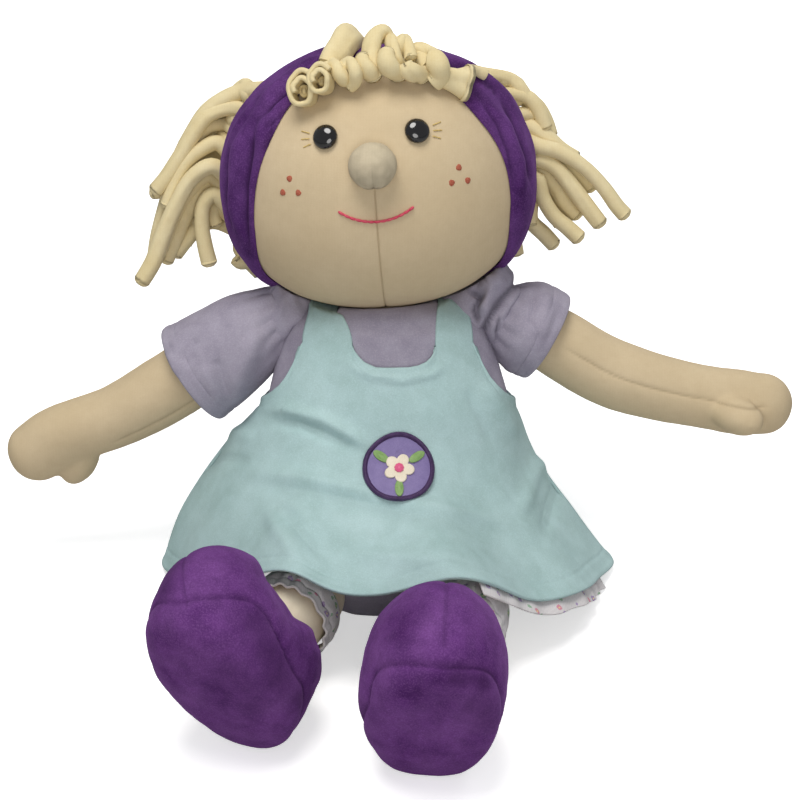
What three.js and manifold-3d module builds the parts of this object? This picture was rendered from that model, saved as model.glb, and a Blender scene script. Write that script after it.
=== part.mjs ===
// Rag doll sitting with its legs out, built from its cloth shells, stuffing, face, hair and clothes.
// Lengths are millimetres, +Z is up, and the origin lies on the floor under the seat.
// The doll faces -Y. Left and right are the doll's own, so its left side is at +X.

import * as THREE from "three";
import { mergeVertices } from "three/addons/utils/BufferGeometryUtils.js";
import Module from "manifold-3d";

const wasm = await Module();
wasm.setup();

const { degToRad, lerp, clamp } = THREE.MathUtils;

// Cloth and clearances
const clothThickness = 1.6;
const seamGap = 0.3;
const stuffingGap = 0.5;
const trimLift = 0.2;
const cutOverrun = 10;

// Torso
const torsoLean = degToRad(19.4);
const torsoLength = 151;
const torsoHalfWidth = 60;
const torsoHalfDepth = 42;
const torsoSink = 4;
const torsoSides = 24;
const slopeReach = 5;
const torsoShares = [
  [-0.07, 0, 0],
  [0, 0.55, 0.55],
  [0.06, 0.82, 0.82],
  [0.15, 0.96, 0.96],
  [0.3, 1, 1],
  [0.48, 0.97, 0.98],
  [0.65, 0.92, 0.95],
  [0.78, 0.87, 0.89],
  [0.86, 0.85, 0.86],
  [0.91, 0.81, 0.82],
  [0.95, 0.68, 0.72],
  [0.98, 0.48, 0.57],
  [1, 0.3, 0.43],
];

// Neck
const neckBallRadius = 15;
const neckStemRadius = 12;
const neckPivotDrop = 4;
const neckReachIntoHead = 12;
const neckHoleRadius = 13.5;
const neckSides = 16;

// Head
const headLean = degToRad(-12);
const headRoll = degToRad(-4);
const headRise = 70.5;
const headHalfWidth = 74;
const headHalfDepth = 59;
const crownHeight = 64;
const chinDepth = 63;
const crownPower = 2.05;
const chinPower = 2.35;
const headSides = 26;
const headBands = 12;

// Face
const eyeRadius = 6;
const eyeHeight = 3.6;
const eyeAcross = 21.5;
const eyeUp = 29;
const shankRadius = 1.8;
const shankLength = 8;
const washerRadius = 5.5;
const washerThickness = 1.2;
const washerDrop = 1.2;
const noseRadius = 11;
const noseUp = 15;
const noseLift = 4.5;
const smileRadius = 30;
const smileRise = 19;
const smileHalfAngle = degToRad(36);
const smileThreadRadius = 0.9;
const freckleRadius = 1.5;
const freckleHeight = 0.6;
const freckleAcross = 40;
const freckleUp = 6;
const freckleSpread = 4.4;

// Headscarf
const scarfTilt = degToRad(8);
const scarfThickness = 3.5;
const scarfGap = 1.1;
const scarfAngle = degToRad(-8);
const scarfNapeAngle = degToRad(30);
const scarfHalfAngle = degToRad(18);
const scarfCrownAngle = degToRad(-1);
const scarfCrownHalfAngle = degToRad(11);
const scarfWidensAt = degToRad(60);
const scarfNapeHalfAngle = degToRad(9);
const scarfTurnsBackAt = degToRad(100);
const scarfSteps = 32;
const scarfEdgeShares = [-1, -0.5, 0, 0.5, 1];
const scarfCrownShares = [0.45, 0.95, 1, 0.95, 0.45];

// Fringe
const curlCount = 7;
const curlLoopRadius = 9;
const curlStrandRadius = 4.7;
const curlAdvance = 3.5;
const curlSweep = degToRad(265);
const curlStart = degToRad(-90);
const curlFan = degToRad(68);
const curlDrop = degToRad(5);
const curlSteps = 8;
const curlSides = 5;
const curlGap = 0.4;

// Hair
const strandRadius = 5.4;
const strandSides = 5;
const strandHeadSteps = 3;
const strandTailSteps = 4;
const partingRadius = 4.2;
const hairlineAzimuth = degToRad(107);
const hairTopRow = degToRad(42);
const hairRowStep = degToRad(9.5);
const hairSag = degToRad(5);
const tailSwell = 7;

// Arms
const armLength = 150;
const armRadius = 17.5;
const gatherRadius = 12.5;
const shoulderHeightShare = 0.915;
const armSides = 12;
const thumbLength = 15;
const thumbHalfWidth = 9.6;
const thumbHalfDepth = 9.6;
const thumbAlong = 128;
const thumbOff = 15.5;
const thumbSplay = degToRad(36);

// Sleeves
const sleeveSides = 14;
const sleeveThickness = 1.6;
const rightSleeveLength = 50;
const leftSleeveLength = 22;
const rightSleeveHem = 25.5;
const leftSleeveHem = 21.5;

// Legs and bloomers
const legRadius = 18.5;
const legSides = 14;
const hipHeightShare = 0.135;
const hipTurn = degToRad(34);
const bloomerThickness = 1.8;
const bloomerSides = 14;
const bloomerTop = 12;
const rightBloomerLength = 17;
const leftBloomerLength = 24;
const bloomerCuff = 22.4;

// Shoes
const shoeHalfLength = 52;
const shoeHalfWidth = 32;
const shoeUpperDepth = 36;
const shoeSoleDepth = 29;
const shoeUpperPower = 2.2;
const shoeSolePower = 4;
const shoeSeamFromCentre = 16;
const shoeTilt = degToRad(23);
const shoeSides = 16;
const shoeBands = 8;
const rightShoeAcross = -68;
const rightShoeForward = 121;
const rightShoeHeight = 50;
const leftShoeAcross = 21;
const leftShoeForward = 142;
const leftShoeHeight = 46;

// Pinafore
const pinaforeThickness = 2;
const pinaforeGap = 0.9;
const waistShare = 0.6755;
const skirtHalfWidth = 112;
const skirtMiddle = 28;
const skirtFrontReach = 113;
const skirtBackReach = 62;
const skirtSwing = 7;
const skirtBulge = 7;
const hemClearance = 3;
const lapRise = 49;
const kneeRise = 12;
const kneeHalfWidth = 24;
const kneeAlong = 40;
const skirtFallAlongBody = 36;
const skirtFlareReach = 30;
const foldDepth = 4;
const foldCount = 10;
const bodiceRows = 4;
const skirtRows = 7;
const frontColumnTurn = degToRad(7.5);
const backColumnTurn = degToRad(15);
const strapThickness = 2;
const strapLift = 1.4;
const strapRootGap = 0.9;
const strapSteps = 10;
const strapInnerTurn = degToRad(30);
const strapOuterTurn = degToRad(52.5);
const strapRootShare = 0.9;
const liningThickness = 1.2;
const liningDrop = 5;
const liningOverlap = 12;
const liningFirstColumn = 3;
const liningColumns = 7;
const liningSteps = 10;

// Badge
const badgeRadius = 17.5;
const badgeBorderWidth = 2;
const badgeThickness = 0.9;
const badgeTurn = degToRad(9.5);
const badgeFall = 27;
const badgeSectors = 20;
const badgeLift = 1;
const blossomRadius = 8;
const blossomThickness = 0.8;
const blossomPetals = 5;

// Colours
const cream = 0xf3e6cf;
const fill = 0xf4f2ec;
const lilac = 0xbfa9d6;
const mint = 0xa9d7c4;
const purple = 0x6b3f86;
const yellow = 0xf0dfa0;
const black = 0x141214;
const rose = 0xb5495b;
const freckleBrown = 0xb97a4e;
const violet = 0x8f78bd;
const white = 0xf6f4f4;
const plastic = 0xe9e7e2;

// Solids
// A ring of one point is a pole. The last ring joins the first, and two poles in a row join nothing.
function solidOfRings(rings) {
  const points = rings.flat();
  const faces = [];
  let start = 0;
  rings.forEach((ring, i) => {
    const next = rings[(i + 1) % rings.length];
    const nextStart = i + 1 < rings.length ? start + ring.length : 0;
    faces.push(...facesBetween(start, ring.length, nextStart, next.length));
    start += ring.length;
  });
  return facingOut(points, faces);
}

function facesBetween(a, countA, b, countB) {
  const faces = [];
  const count = Math.max(countA, countB);
  if (count === 1) {
    return faces;
  }
  for (let k = 0; k < count; k++) {
    const next = (k + 1) % count;
    if (countA > 1) {
      faces.push(a + k, a + next, countB > 1 ? b + next : b);
    }
    if (countB > 1) {
      faces.push(countA > 1 ? a + k : a, b + next, b + k);
    }
  }
  return faces;
}

function facingOut(points, faces) {
  let volume = 0;
  for (let i = 0; i < faces.length; i += 3) {
    const [a, b, c] = faces.slice(i, i + 3).map((k) => points[k]);
    volume += a.dot(new THREE.Vector3().crossVectors(b, c));
  }
  const geometry = new THREE.BufferGeometry();
  const numbers = points.flatMap((point) => point.toArray());
  geometry.setAttribute("position", new THREE.Float32BufferAttribute(numbers, 3));
  geometry.setIndex(volume < 0 ? faces.toReversed() : faces);
  return geometry;
}

// A cloth panel between two grids of the same rows and columns
function solidOfPanel(outer, inner) {
  const rows = outer.length;
  const columns = outer[0].length;
  const points = [...outer.flat(), ...inner.flat()];
  const under = rows * columns;
  const faces = [];
  const quad = (a, b, c, d) => faces.push(a, b, c, a, c, d);
  for (let i = 0; i + 1 < rows; i++) {
    for (let j = 0; j + 1 < columns; j++) {
      const a = i * columns + j;
      quad(a, a + 1, a + columns + 1, a + columns);
      quad(under + a, under + a + columns, under + a + columns + 1, under + a + 1);
    }
  }
  const edge = [];
  for (let j = 0; j + 1 < columns; j++) {
    edge.push(j);
  }
  for (let i = 0; i + 1 < rows; i++) {
    edge.push(i * columns + columns - 1);
  }
  for (let j = columns - 1; j > 0; j--) {
    edge.push((rows - 1) * columns + j);
  }
  for (let i = rows - 1; i > 0; i--) {
    edge.push(i * columns);
  }
  edge.forEach((a, k) => {
    const b = edge[(k + 1) % edge.length];
    quad(b, a, under + a, under + b);
  });
  return facingOut(points, faces);
}

// The grid moved along its own normals, away from the body
function liftGrid(grid, height) {
  const rows = grid.length;
  const columns = grid[0].length;
  return grid.map((row, i) =>
    row.map((point, j) => {
      const down = new THREE.Vector3().subVectors(
        grid[Math.min(i + 1, rows - 1)][j],
        grid[Math.max(i - 1, 0)][j],
      );
      const across = new THREE.Vector3().subVectors(
        row[Math.min(j + 1, columns - 1)],
        row[Math.max(j - 1, 0)],
      );
      const normal = down.cross(across).normalize();
      return point.clone().addScaledVector(normal, height);
    }),
  );
}

function toManifold(geometry) {
  const bare = new THREE.BufferGeometry();
  bare.setAttribute("position", geometry.getAttribute("position"));
  bare.setIndex(geometry.index);
  const merged = mergeVertices(bare);
  const vertProperties = new Float32Array(merged.attributes.position.array);
  const triVerts = new Uint32Array(merged.index.array);
  return new wasm.Manifold(new wasm.Mesh({ numProp: 3, vertProperties, triVerts }));
}

function toGeometry(manifold) {
  const { vertProperties, triVerts } = manifold.getMesh();
  const geometry = new THREE.BufferGeometry();
  geometry.setAttribute("position", new THREE.BufferAttribute(vertProperties, 3));
  geometry.setIndex(new THREE.BufferAttribute(triVerts, 1));
  return geometry;
}

function cut(geometry, ...cutters) {
  const cutOnce = (left, cutter) => left.subtract(toManifold(cutter));
  return toGeometry(cutters.reduce(cutOnce, toManifold(geometry)));
}

function join(...geometries) {
  return toGeometry(geometries.map(toManifold).reduce((a, b) => a.add(b)));
}

function common(a, b) {
  return toGeometry(toManifold(a).intersect(toManifold(b)));
}

// Limbs
// A route is the middle line of a limb. At each distance it gives the centre and two directions across.
class Route {
  constructor(points, front) {
    this.curve = new THREE.CatmullRomCurve3(points, false, "centripetal");
    this.length = this.curve.getLength();
    this.front = front;
  }

  at(distance) {
    const share = clamp(distance / this.length, 0, 1);
    const centre = this.curve.getPointAt(share);
    const along = this.curve.getTangentAt(share);
    centre.addScaledVector(along, distance - share * this.length);
    const side = new THREE.Vector3().crossVectors(along, this.front).normalize();
    const front = new THREE.Vector3().crossVectors(side, along);
    return { centre, along, side, front };
  }
}

function ringAt({ centre, side, front }, halfWidth, halfDepth, sides) {
  return Array.from({ length: sides }, (_, k) => {
    const turn = (2 * Math.PI * k) / sides;
    return centre
      .clone()
      .addScaledVector(side, halfWidth * Math.sin(turn))
      .addScaledVector(front, halfDepth * Math.cos(turn));
  });
}

// Stations are [distance, half width, half depth]. A half width of zero is a pole.
function ringsAlong(route, stations, sides) {
  return stations.map(([distance, halfWidth, halfDepth]) => {
    const frame = route.at(distance);
    return halfWidth === 0 ? [frame.centre] : ringAt(frame, halfWidth, halfDepth, sides);
  });
}

// The stations moved inwards, square to the limb's outline
function insetStations(stations, inset) {
  return stations.map(([distance, halfWidth, halfDepth], i) => {
    const before = stations[Math.max(i - 1, 0)];
    const after = stations[Math.min(i + 1, stations.length - 1)];
    const outline = new THREE.Vector2(after[0] - before[0], after[1] - before[1]);
    if (halfWidth === 0) {
      outline.x = 0;
    }
    outline.normalize();
    const moved = distance + inset * outline.y;
    const thinner = inset * outline.x;
    return [moved, halfWidth && halfWidth - thinner, halfDepth && halfDepth - thinner];
  });
}

// Round end of a limb whose last full section lies one radius before its end
function roundEnd(end, halfWidth, halfDepth) {
  const capAngleShares = [0.3, 0.6, 0.82];
  const reach = (halfWidth + halfDepth) / 2;
  const stations = capAngleShares.map((share) => {
    const angle = (share * Math.PI) / 2;
    const narrowed = Math.cos(angle);
    return [end - reach + reach * Math.sin(angle), halfWidth * narrowed, halfDepth * narrowed];
  });
  return [...stations, [end, 0, 0]];
}

function solidLimb(route, stations, sides) {
  const closed = [...stations];
  if (stations[0][1] !== 0) {
    closed.unshift([stations[0][0], 0, 0]);
  }
  if (stations.at(-1)[1] !== 0) {
    closed.push([stations.at(-1)[0], 0, 0]);
  }
  return solidOfRings(ringsAlong(route, closed, sides));
}

function clothTube(route, stations, sides, thickness) {
  const outer = ringsAlong(route, stations, sides);
  const inner = ringsAlong(route, insetStations(stations, thickness), sides);
  return solidOfRings([...outer, ...inner.toReversed()]);
}

// Torso
const spine = new THREE.Vector3(0, Math.sin(torsoLean), Math.cos(torsoLean));
const torsoFront = new THREE.Vector3(0, -Math.cos(torsoLean), Math.sin(torsoLean));
const torsoFoot = new THREE.Vector3(0, 0, -torsoSink);
const torsoRoute = new Route(
  [torsoFoot, torsoFoot.clone().addScaledVector(spine, torsoLength)],
  torsoFront,
);
const torsoStations = torsoShares.map(([height, width, depth]) => [
  height * torsoLength,
  width * torsoHalfWidth,
  depth * torsoHalfDepth,
]);

function torsoRings(inset, floor, sides) {
  const stations = insetStations(torsoStations, inset);
  const rings = ringsAlong(torsoRoute, stations, sides);
  rings.flat().forEach((point) => {
    point.z = Math.max(point.z, floor);
  });
  return rings;
}

function torsoHalvesAt(height) {
  const above = Math.max(torsoStations.findIndex(([h]) => h >= height), 1);
  const [h0, w0, d0] = torsoStations[above - 1];
  const [h1, w1, d1] = torsoStations[above];
  const share = (height - h0) / (h1 - h0);
  return [lerp(w0, w1, share), lerp(d0, d1, share)];
}

// A point over the torso's surface. The turn is zero in front and grows to the doll's left.
function overTorso(height, turn, lift) {
  const [halfWidth, halfDepth] = torsoHalvesAt(height);
  const { centre, side, front } = torsoRoute.at(height);
  const [widthBelow] = torsoHalvesAt(height - slopeReach);
  const [widthAbove] = torsoHalvesAt(height + slopeReach);
  const across = Math.sin(turn);
  const forward = Math.cos(turn);
  const normal = new THREE.Vector3()
    .addScaledVector(side, across / halfWidth)
    .addScaledVector(front, forward / halfDepth)
    .normalize()
    .addScaledVector(spine, (widthBelow - widthAbove) / (2 * slopeReach))
    .normalize();
  return centre
    .addScaledVector(side, halfWidth * across)
    .addScaledVector(front, halfDepth * forward)
    .addScaledVector(normal, lift);
}

const neckPivot = torsoRoute.at(torsoLength - neckPivotDrop).centre;

function torsoSkin() {
  const inner = torsoRings(clothThickness, clothThickness, torsoSides);
  return solidOfRings([...torsoRings(0, 0, torsoSides), ...inner.toReversed()]);
}

function torsoStuffing() {
  const inset = clothThickness + stuffingGap;
  const rings = torsoRings(inset, clothThickness + inset, torsoSides / 2);
  const top = torsoRoute.at(torsoLength - stuffingGap).centre;
  const socketRadius = (neckBallRadius + seamGap) / Math.cos(Math.PI / neckSides) ** 2;
  const socket = new THREE.SphereGeometry(socketRadius, neckSides, neckSides / 2);
  socket.translate(...neckPivot.toArray());
  return cut(solidOfRings([...rings, [top]]), socket);
}

// Neck
const neckTop = headRise - chinDepth + neckReachIntoHead;

function neck() {
  const meeting = Math.acos(neckStemRadius / neckBallRadius);
  const ballSteps = 8;
  const profile = [];
  for (let i = 0; i <= ballSteps; i++) {
    const angle = lerp(-Math.PI / 2, meeting, i / ballSteps);
    const x = i === 0 ? 0 : neckBallRadius * Math.cos(angle);
    profile.push(new THREE.Vector2(x, neckBallRadius * Math.sin(angle)));
  }
  profile.push(new THREE.Vector2(neckStemRadius, neckTop));
  profile.push(new THREE.Vector2(0, neckTop));
  return new THREE.LatheGeometry(profile, neckSides).rotateX(Math.PI / 2);
}

// Head
// In the head's own frame, -Y is the face, +Z is the crown and the origin is its middle.
function headRadius(direction, inflate = 0) {
  const halfHeight = direction.z > 0 ? crownHeight : chinDepth;
  const power = direction.z > 0 ? crownPower : chinPower;
  const level = Math.hypot(direction.x / headHalfWidth, direction.y / headHalfDepth);
  const upright = Math.abs(direction.z) / halfHeight;
  return (level ** power + upright ** power) ** (-1 / power) + inflate;
}

function onHead(azimuth, elevation, lift) {
  const direction = new THREE.Vector3(
    Math.cos(elevation) * Math.sin(azimuth),
    -Math.cos(elevation) * Math.cos(azimuth),
    Math.sin(elevation),
  );
  return direction.multiplyScalar(headRadius(direction, lift));
}

function headRings(lift, lowest, sides, bands) {
  const rings = [[onHead(0, Math.PI / 2, lift)]];
  for (let i = 1; i <= bands; i++) {
    const elevation = lerp(Math.PI / 2, lowest, i / bands);
    rings.push(
      Array.from({ length: sides }, (_, k) => onHead((2 * Math.PI * k) / sides, elevation, lift)),
    );
  }
  return rings;
}

const neckHoleElevation = -Math.acos(neckHoleRadius / chinDepth);

// The face's surface in front of a point, and the way that it faces
function faceAt(x, z) {
  const halfHeight = z > 0 ? crownHeight : chinDepth;
  const power = z > 0 ? crownPower : chinPower;
  const level = (1 - (Math.abs(z) / halfHeight) ** power) ** (1 / power);
  const y = -headHalfDepth * Math.sqrt(level ** 2 - (x / headHalfWidth) ** 2);
  const levelSlope = level ** (power - 2);
  const normal = new THREE.Vector3(
    (levelSlope * x) / headHalfWidth ** 2,
    (levelSlope * y) / headHalfDepth ** 2,
    (Math.sign(z) * (Math.abs(z) / halfHeight) ** (power - 1)) / halfHeight,
  ).normalize();
  return { point: new THREE.Vector3(x, y, z), normal };
}

// Stands a piece made along +Z on the face
function standOnFace(geometry, x, z, lift) {
  const { point, normal } = faceAt(x, z);
  const turn = new THREE.Quaternion().setFromUnitVectors(new THREE.Vector3(0, 0, 1), normal);
  point.addScaledVector(normal, lift);
  return geometry.applyQuaternion(turn).translate(...point.toArray());
}

function plug(radius, depth, height, sides) {
  const geometry = new THREE.CylinderGeometry(radius, radius, depth + height, sides);
  return geometry.rotateX(Math.PI / 2).translate(0, 0, (height - depth) / 2);
}

function headSkin() {
  const outer = headRings(0, neckHoleElevation, headSides, headBands);
  const inner = headRings(-clothThickness, neckHoleElevation, headSides, headBands);
  const shell = solidOfRings([...outer, ...inner.toReversed()]);
  const shankHole = (x) =>
    standOnFace(plug(shankRadius + seamGap, shankLength, eyeHeight, neckSides / 2), x, eyeUp, 0);
  return cut(shell, shankHole(-eyeAcross), shankHole(eyeAcross));
}

function headStuffing() {
  const inset = -clothThickness - stuffingGap;
  const rings = headRings(inset, neckHoleElevation, headSides / 2, headBands / 2);
  const bottom = new THREE.Vector3(0, 0, rings.at(-1)[0].z);
  const pocketDepth = shankLength + stuffingGap;
  const pocket = (x) =>
    standOnFace(plug(washerRadius + stuffingGap, pocketDepth, 0, neckSides), x, eyeUp, 0);
  const socketTop = neckTop - headRise + stuffingGap;
  const socket = plug(neckStemRadius + seamGap, chinDepth + socketTop, 0, neckSides);
  socket.translate(0, 0, socketTop);
  return cut(solidOfRings([...rings, [bottom]]), pocket(-eyeAcross), pocket(eyeAcross), socket);
}

// Face
function eye(x) {
  const domeShares = [
    [1, 0],
    [1, 0.16],
    [0.94, 0.42],
    [0.78, 0.7],
    [0.5, 0.9],
    [0.22, 0.98],
    [0, 1],
  ];
  const profile = [
    new THREE.Vector2(0, -shankLength),
    new THREE.Vector2(shankRadius, -shankLength),
    new THREE.Vector2(shankRadius, 0),
    ...domeShares.map(([r, h]) => new THREE.Vector2(eyeRadius * r, eyeHeight * h)),
  ];
  const dome = new THREE.LatheGeometry(profile, neckSides - 2).rotateX(Math.PI / 2);
  return standOnFace(dome, x, eyeUp, trimLift);
}

function eyeWasher(x) {
  const near = -clothThickness - washerDrop;
  const far = near - washerThickness;
  const bore = shankRadius + seamGap;
  const corners = [
    [bore, far],
    [washerRadius, far],
    [washerRadius, near],
    [bore, near],
    [bore, far],
  ];
  const profile = corners.map(([r, z]) => new THREE.Vector2(r, z));
  const ring = new THREE.LatheGeometry(profile, neckSides).rotateX(Math.PI / 2);
  return standOnFace(ring, x, eyeUp, 0);
}

function nose() {
  const { point, normal } = faceAt(0, noseUp);
  point.addScaledVector(normal, noseLift);
  const ball = new THREE.SphereGeometry(noseRadius, neckSides, neckSides / 2);
  const rings = headRings(seamGap, neckHoleElevation, headSides, headBands);
  const bottom = new THREE.Vector3(0, 0, rings.at(-1)[0].z);
  return cut(ball.translate(...point.toArray()), solidOfRings([...rings, [bottom]]));
}

// A thread of round section through points, with flat ends
function thread(points, radius, sides, facing) {
  const last = points.length - 1;
  const rings = points.map((point, i) => {
    const along = new THREE.Vector3()
      .subVectors(points[Math.min(i + 1, last)], points[Math.max(i - 1, 0)])
      .normalize();
    const side = new THREE.Vector3().crossVectors(along, facing(i)).normalize();
    const front = new THREE.Vector3().crossVectors(side, along);
    return ringAt({ centre: point, side, front }, radius, radius, sides);
  });
  return solidOfRings([[points[0]], ...rings, [points[last]]]);
}

function smile() {
  const steps = 10;
  const places = Array.from({ length: steps + 1 }, (_, i) => {
    const angle = lerp(-smileHalfAngle, smileHalfAngle, i / steps);
    return faceAt(smileRadius * Math.sin(angle), smileRise - smileRadius * Math.cos(angle));
  });
  const points = places.map(({ point, normal }) =>
    point.clone().addScaledVector(normal, smileThreadRadius + trimLift),
  );
  return thread(points, smileThreadRadius, curlSides, (i) => places[i].normal);
}

function freckle(side, index) {
  const angle = (2 * Math.PI * index) / 3 + Math.PI / 2;
  const x = side * (freckleAcross + freckleSpread * Math.cos(angle));
  const z = freckleUp + freckleSpread * Math.sin(angle);
  return standOnFace(plug(freckleRadius, 0, freckleHeight, neckSides / 2), x, z, trimLift);
}

// Headscarf
// A band round the head: the round angle is zero at the crown, and the back angle leans to the nape.
const scarfUp = new THREE.Vector3(0, -Math.sin(scarfTilt), Math.cos(scarfTilt));
const scarfBack = new THREE.Vector3(0, Math.cos(scarfTilt), Math.sin(scarfTilt));

function onScarf(round, back, lift) {
  const direction = new THREE.Vector3(Math.cos(back) * Math.sin(round), 0, 0)
    .addScaledVector(scarfUp, Math.cos(back) * Math.cos(round))
    .addScaledVector(scarfBack, Math.sin(back));
  return direction.multiplyScalar(headRadius(direction, lift));
}

function scarfSpan(round) {
  const turned = Math.PI - Math.abs(Math.PI - round);
  const past = clamp((turned - scarfTurnsBackAt) / (Math.PI - scarfTurnsBackAt), 0, 1);
  const toNape = past * past * (3 - 2 * past);
  const side = clamp(turned / scarfWidensAt, 0, 1);
  const fromCrown = side * side * (3 - 2 * side);
  const sideMiddle = lerp(scarfCrownAngle, scarfAngle, fromCrown);
  const sideHalf = lerp(scarfCrownHalfAngle, scarfHalfAngle, fromCrown);
  return {
    middle: lerp(sideMiddle, scarfNapeAngle, toNape),
    half: lerp(sideHalf, scarfNapeHalfAngle, toNape),
  };
}

function headscarf() {
  const rings = Array.from({ length: scarfSteps }, (_, i) => {
    const round = (2 * Math.PI * i) / scarfSteps;
    const { middle, half } = scarfSpan(round);
    const outer = scarfEdgeShares.map((edge, k) => {
      const lift = scarfGap + scarfThickness * scarfCrownShares[k];
      return onScarf(round, middle + half * edge, lift);
    });
    const inner = scarfEdgeShares.map((edge) => onScarf(round, middle + half * edge, scarfGap));
    return [...outer, ...inner.toReversed()];
  });
  return solidOfRings(rings);
}

// Fringe
function fringeCurl(index) {
  const fan = curlCount - 1;
  const round = lerp(-curlFan / 2, curlFan / 2, index / fan);
  const { middle, half } = scarfSpan(round);
  const edgeRadius = headRadius(scarfUp);
  const reach = curlLoopRadius + curlStrandRadius;
  const back = middle - half - curlDrop - (reach + scarfGap) / edgeRadius;
  const facetDrop = headHalfWidth * (1 - Math.cos(Math.PI / headSides));
  const centre = onScarf(round, back, reach + curlGap - facetDrop);
  const out = centre.clone().normalize();
  const across = new THREE.Vector3().crossVectors(scarfBack, out).normalize();
  const ahead = new THREE.Vector3().crossVectors(across, out).normalize();
  const points = Array.from({ length: curlSteps + 1 }, (_, i) => {
    const share = i / curlSteps;
    const angle = curlStart + curlSweep * share;
    return centre
      .clone()
      .addScaledVector(across, curlAdvance * (share - 1 / 2))
      .addScaledVector(out, curlLoopRadius * Math.sin(angle))
      .addScaledVector(ahead, curlLoopRadius * Math.cos(angle));
  });
  return thread(points, curlStrandRadius, curlSides, () => across);
}

// Hair
// Tail ends in the head's frame, as shares of its half width, half depth and chin depth, top row first
const rightTailShares = [
  [-1.57, 0.5, -0.12],
  [-1.47, 0.36, -0.33],
  [-1.6, 0.3, -0.72],
  [-1.5, 0.46, -0.61],
  [-1.38, 0.3, -0.54],
  [-1.23, 0.28, -0.63],
  [-1.11, 0.42, -0.42],
  [-1.18, 0.5, -0.58],
  [-0.96, 0.44, -0.73],
];
const leftTailShares = [
  [1.68, 0.36, -0.45],
  [1.48, 0.26, -0.54],
  [1.41, 0.44, -0.47],
  [1.32, 0.28, -0.63],
  [1.22, 0.4, -0.71],
  [1.28, 0.5, -0.57],
  [1.13, 0.46, -0.68],
  [1.03, 0.4, -0.65],
  [0.93, 0.46, -0.78],
];

function strandRoute(side, row, tailShares) {
  const elevation = hairTopRow - hairRowStep * row;
  const lift = scarfGap + strandRadius;
  const points = [];
  const levelRadius = headHalfWidth * Math.cos(elevation - hairSag);
  const last = scarfBackEdge(elevation - hairSag) + (strandRadius + 2 * scarfGap) / levelRadius;
  for (let i = 0; i <= strandHeadSteps; i++) {
    const share = i / strandHeadSteps;
    const azimuth = side * lerp(partingAzimuth(elevation), last, share);
    points.push(onHead(azimuth, elevation - hairSag * share, lift));
  }
  const [x, y, z] = tailShares[row];
  const end = new THREE.Vector3(x * headHalfWidth, y * headHalfDepth, z * chinDepth);
  const middle = points.at(-1).clone().lerp(end, 1 / 2);
  const swell = tailSwell * lerp(-1, 1, row / (tailShares.length - 1));
  middle.x += side * swell;
  middle.z += swell;
  points.push(middle, end);
  return points;
}

// Azimuth at which a strand beside the parting stays clear of the other side's hair
function partingAzimuth(elevation) {
  const clear = strandRadius + scarfGap;
  return Math.PI - Math.asin(clear / (headHalfDepth * Math.cos(elevation)));
}

// Azimuth of the headscarf's back edge at an elevation on the side of the head
function scarfBackEdge(elevation) {
  const steps = 60;
  let nearest = hairlineAzimuth;
  let least = Infinity;
  for (let i = 0; i <= steps; i++) {
    const round = (Math.PI * i) / steps;
    const { middle, half } = scarfSpan(round);
    const edge = onScarf(round, middle + half, 0);
    const off = Math.abs(Math.asin(edge.z / edge.length()) - elevation);
    if (off < least) {
      least = off;
      nearest = Math.atan2(edge.x, -edge.y);
    }
  }
  return Math.max(nearest, hairlineAzimuth - strandRadius / headHalfWidth);
}

function hairSide(side, tailShares) {
  const strands = tailShares.map((_, row) => {
    const curve = new THREE.CatmullRomCurve3(strandRoute(side, row, tailShares));
    const points = curve.getSpacedPoints(strandHeadSteps + strandTailSteps);
    const back = new THREE.Vector3(0, 1, 0);
    return thread(points, strandRadius, strandSides, () => back);
  });
  return join(parting(side), ...strands);
}

// The sewn-down roots: one roll beside the parting
function parting(side) {
  const steps = 6;
  const rows = rightTailShares.length - 1;
  const points = Array.from({ length: steps + 1 }, (_, i) => {
    const elevation = hairTopRow - (hairRowStep * rows * i) / steps;
    return onHead(side * partingAzimuth(elevation), elevation, scarfGap + partingRadius);
  });
  return thread(points, partingRadius, strandSides, () => new THREE.Vector3(1, 0, 0));
}

// Arms
const ahead = new THREE.Vector3(0, -1, 0);

function shoulder(side) {
  const turn = (side * Math.PI) / 2;
  return overTorso(shoulderHeightShare * torsoLength, turn, gatherRadius + seamGap);
}

// Bends of each arm, as shares of its length from the shoulder
const armBendShares = {
  right: [
    [-0.284, -0.01, -0.205],
    [-0.524, -0.02, -0.35],
    [-0.733, -0.03, -0.434],
    [-0.905, -0.04, -0.55],
  ],
  left: [
    [0.12, -0.01, -0.05],
    [0.39, -0.03, -0.2],
    [0.79, -0.05, -0.29],
    [0.985, -0.07, -0.29],
  ],
};

function armRoute(name, side) {
  const start = shoulder(side);
  const bends = armBendShares[name].map((shares) =>
    start.clone().add(new THREE.Vector3(...shares).multiplyScalar(armLength)),
  );
  return new Route([start, ...bends], ahead);
}

// Shares of the arm's length, and of its radius across and deep
const armShares = [
  [0.034, 0.82, 0.82],
  [0.13, 0.94, 0.94],
  [0.27, 1, 1],
  [0.42, 1, 1],
  [0.55, 0.96, 0.96],
  [0.66, 0.92, 0.9],
  [0.74, 0.93, 0.85],
  [0.82, 0.98, 0.8],
];
const handWidthShare = 0.92;
const handDepthShare = 0.74;

function armStations(route) {
  const reach = route.length;
  const upper = armShares.map(([along, width, depth]) => [
    along * reach,
    width * armRadius,
    depth * armRadius,
  ]);
  return [...upper, ...roundEnd(reach, handWidthShare * armRadius, handDepthShare * armRadius)];
}

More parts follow.
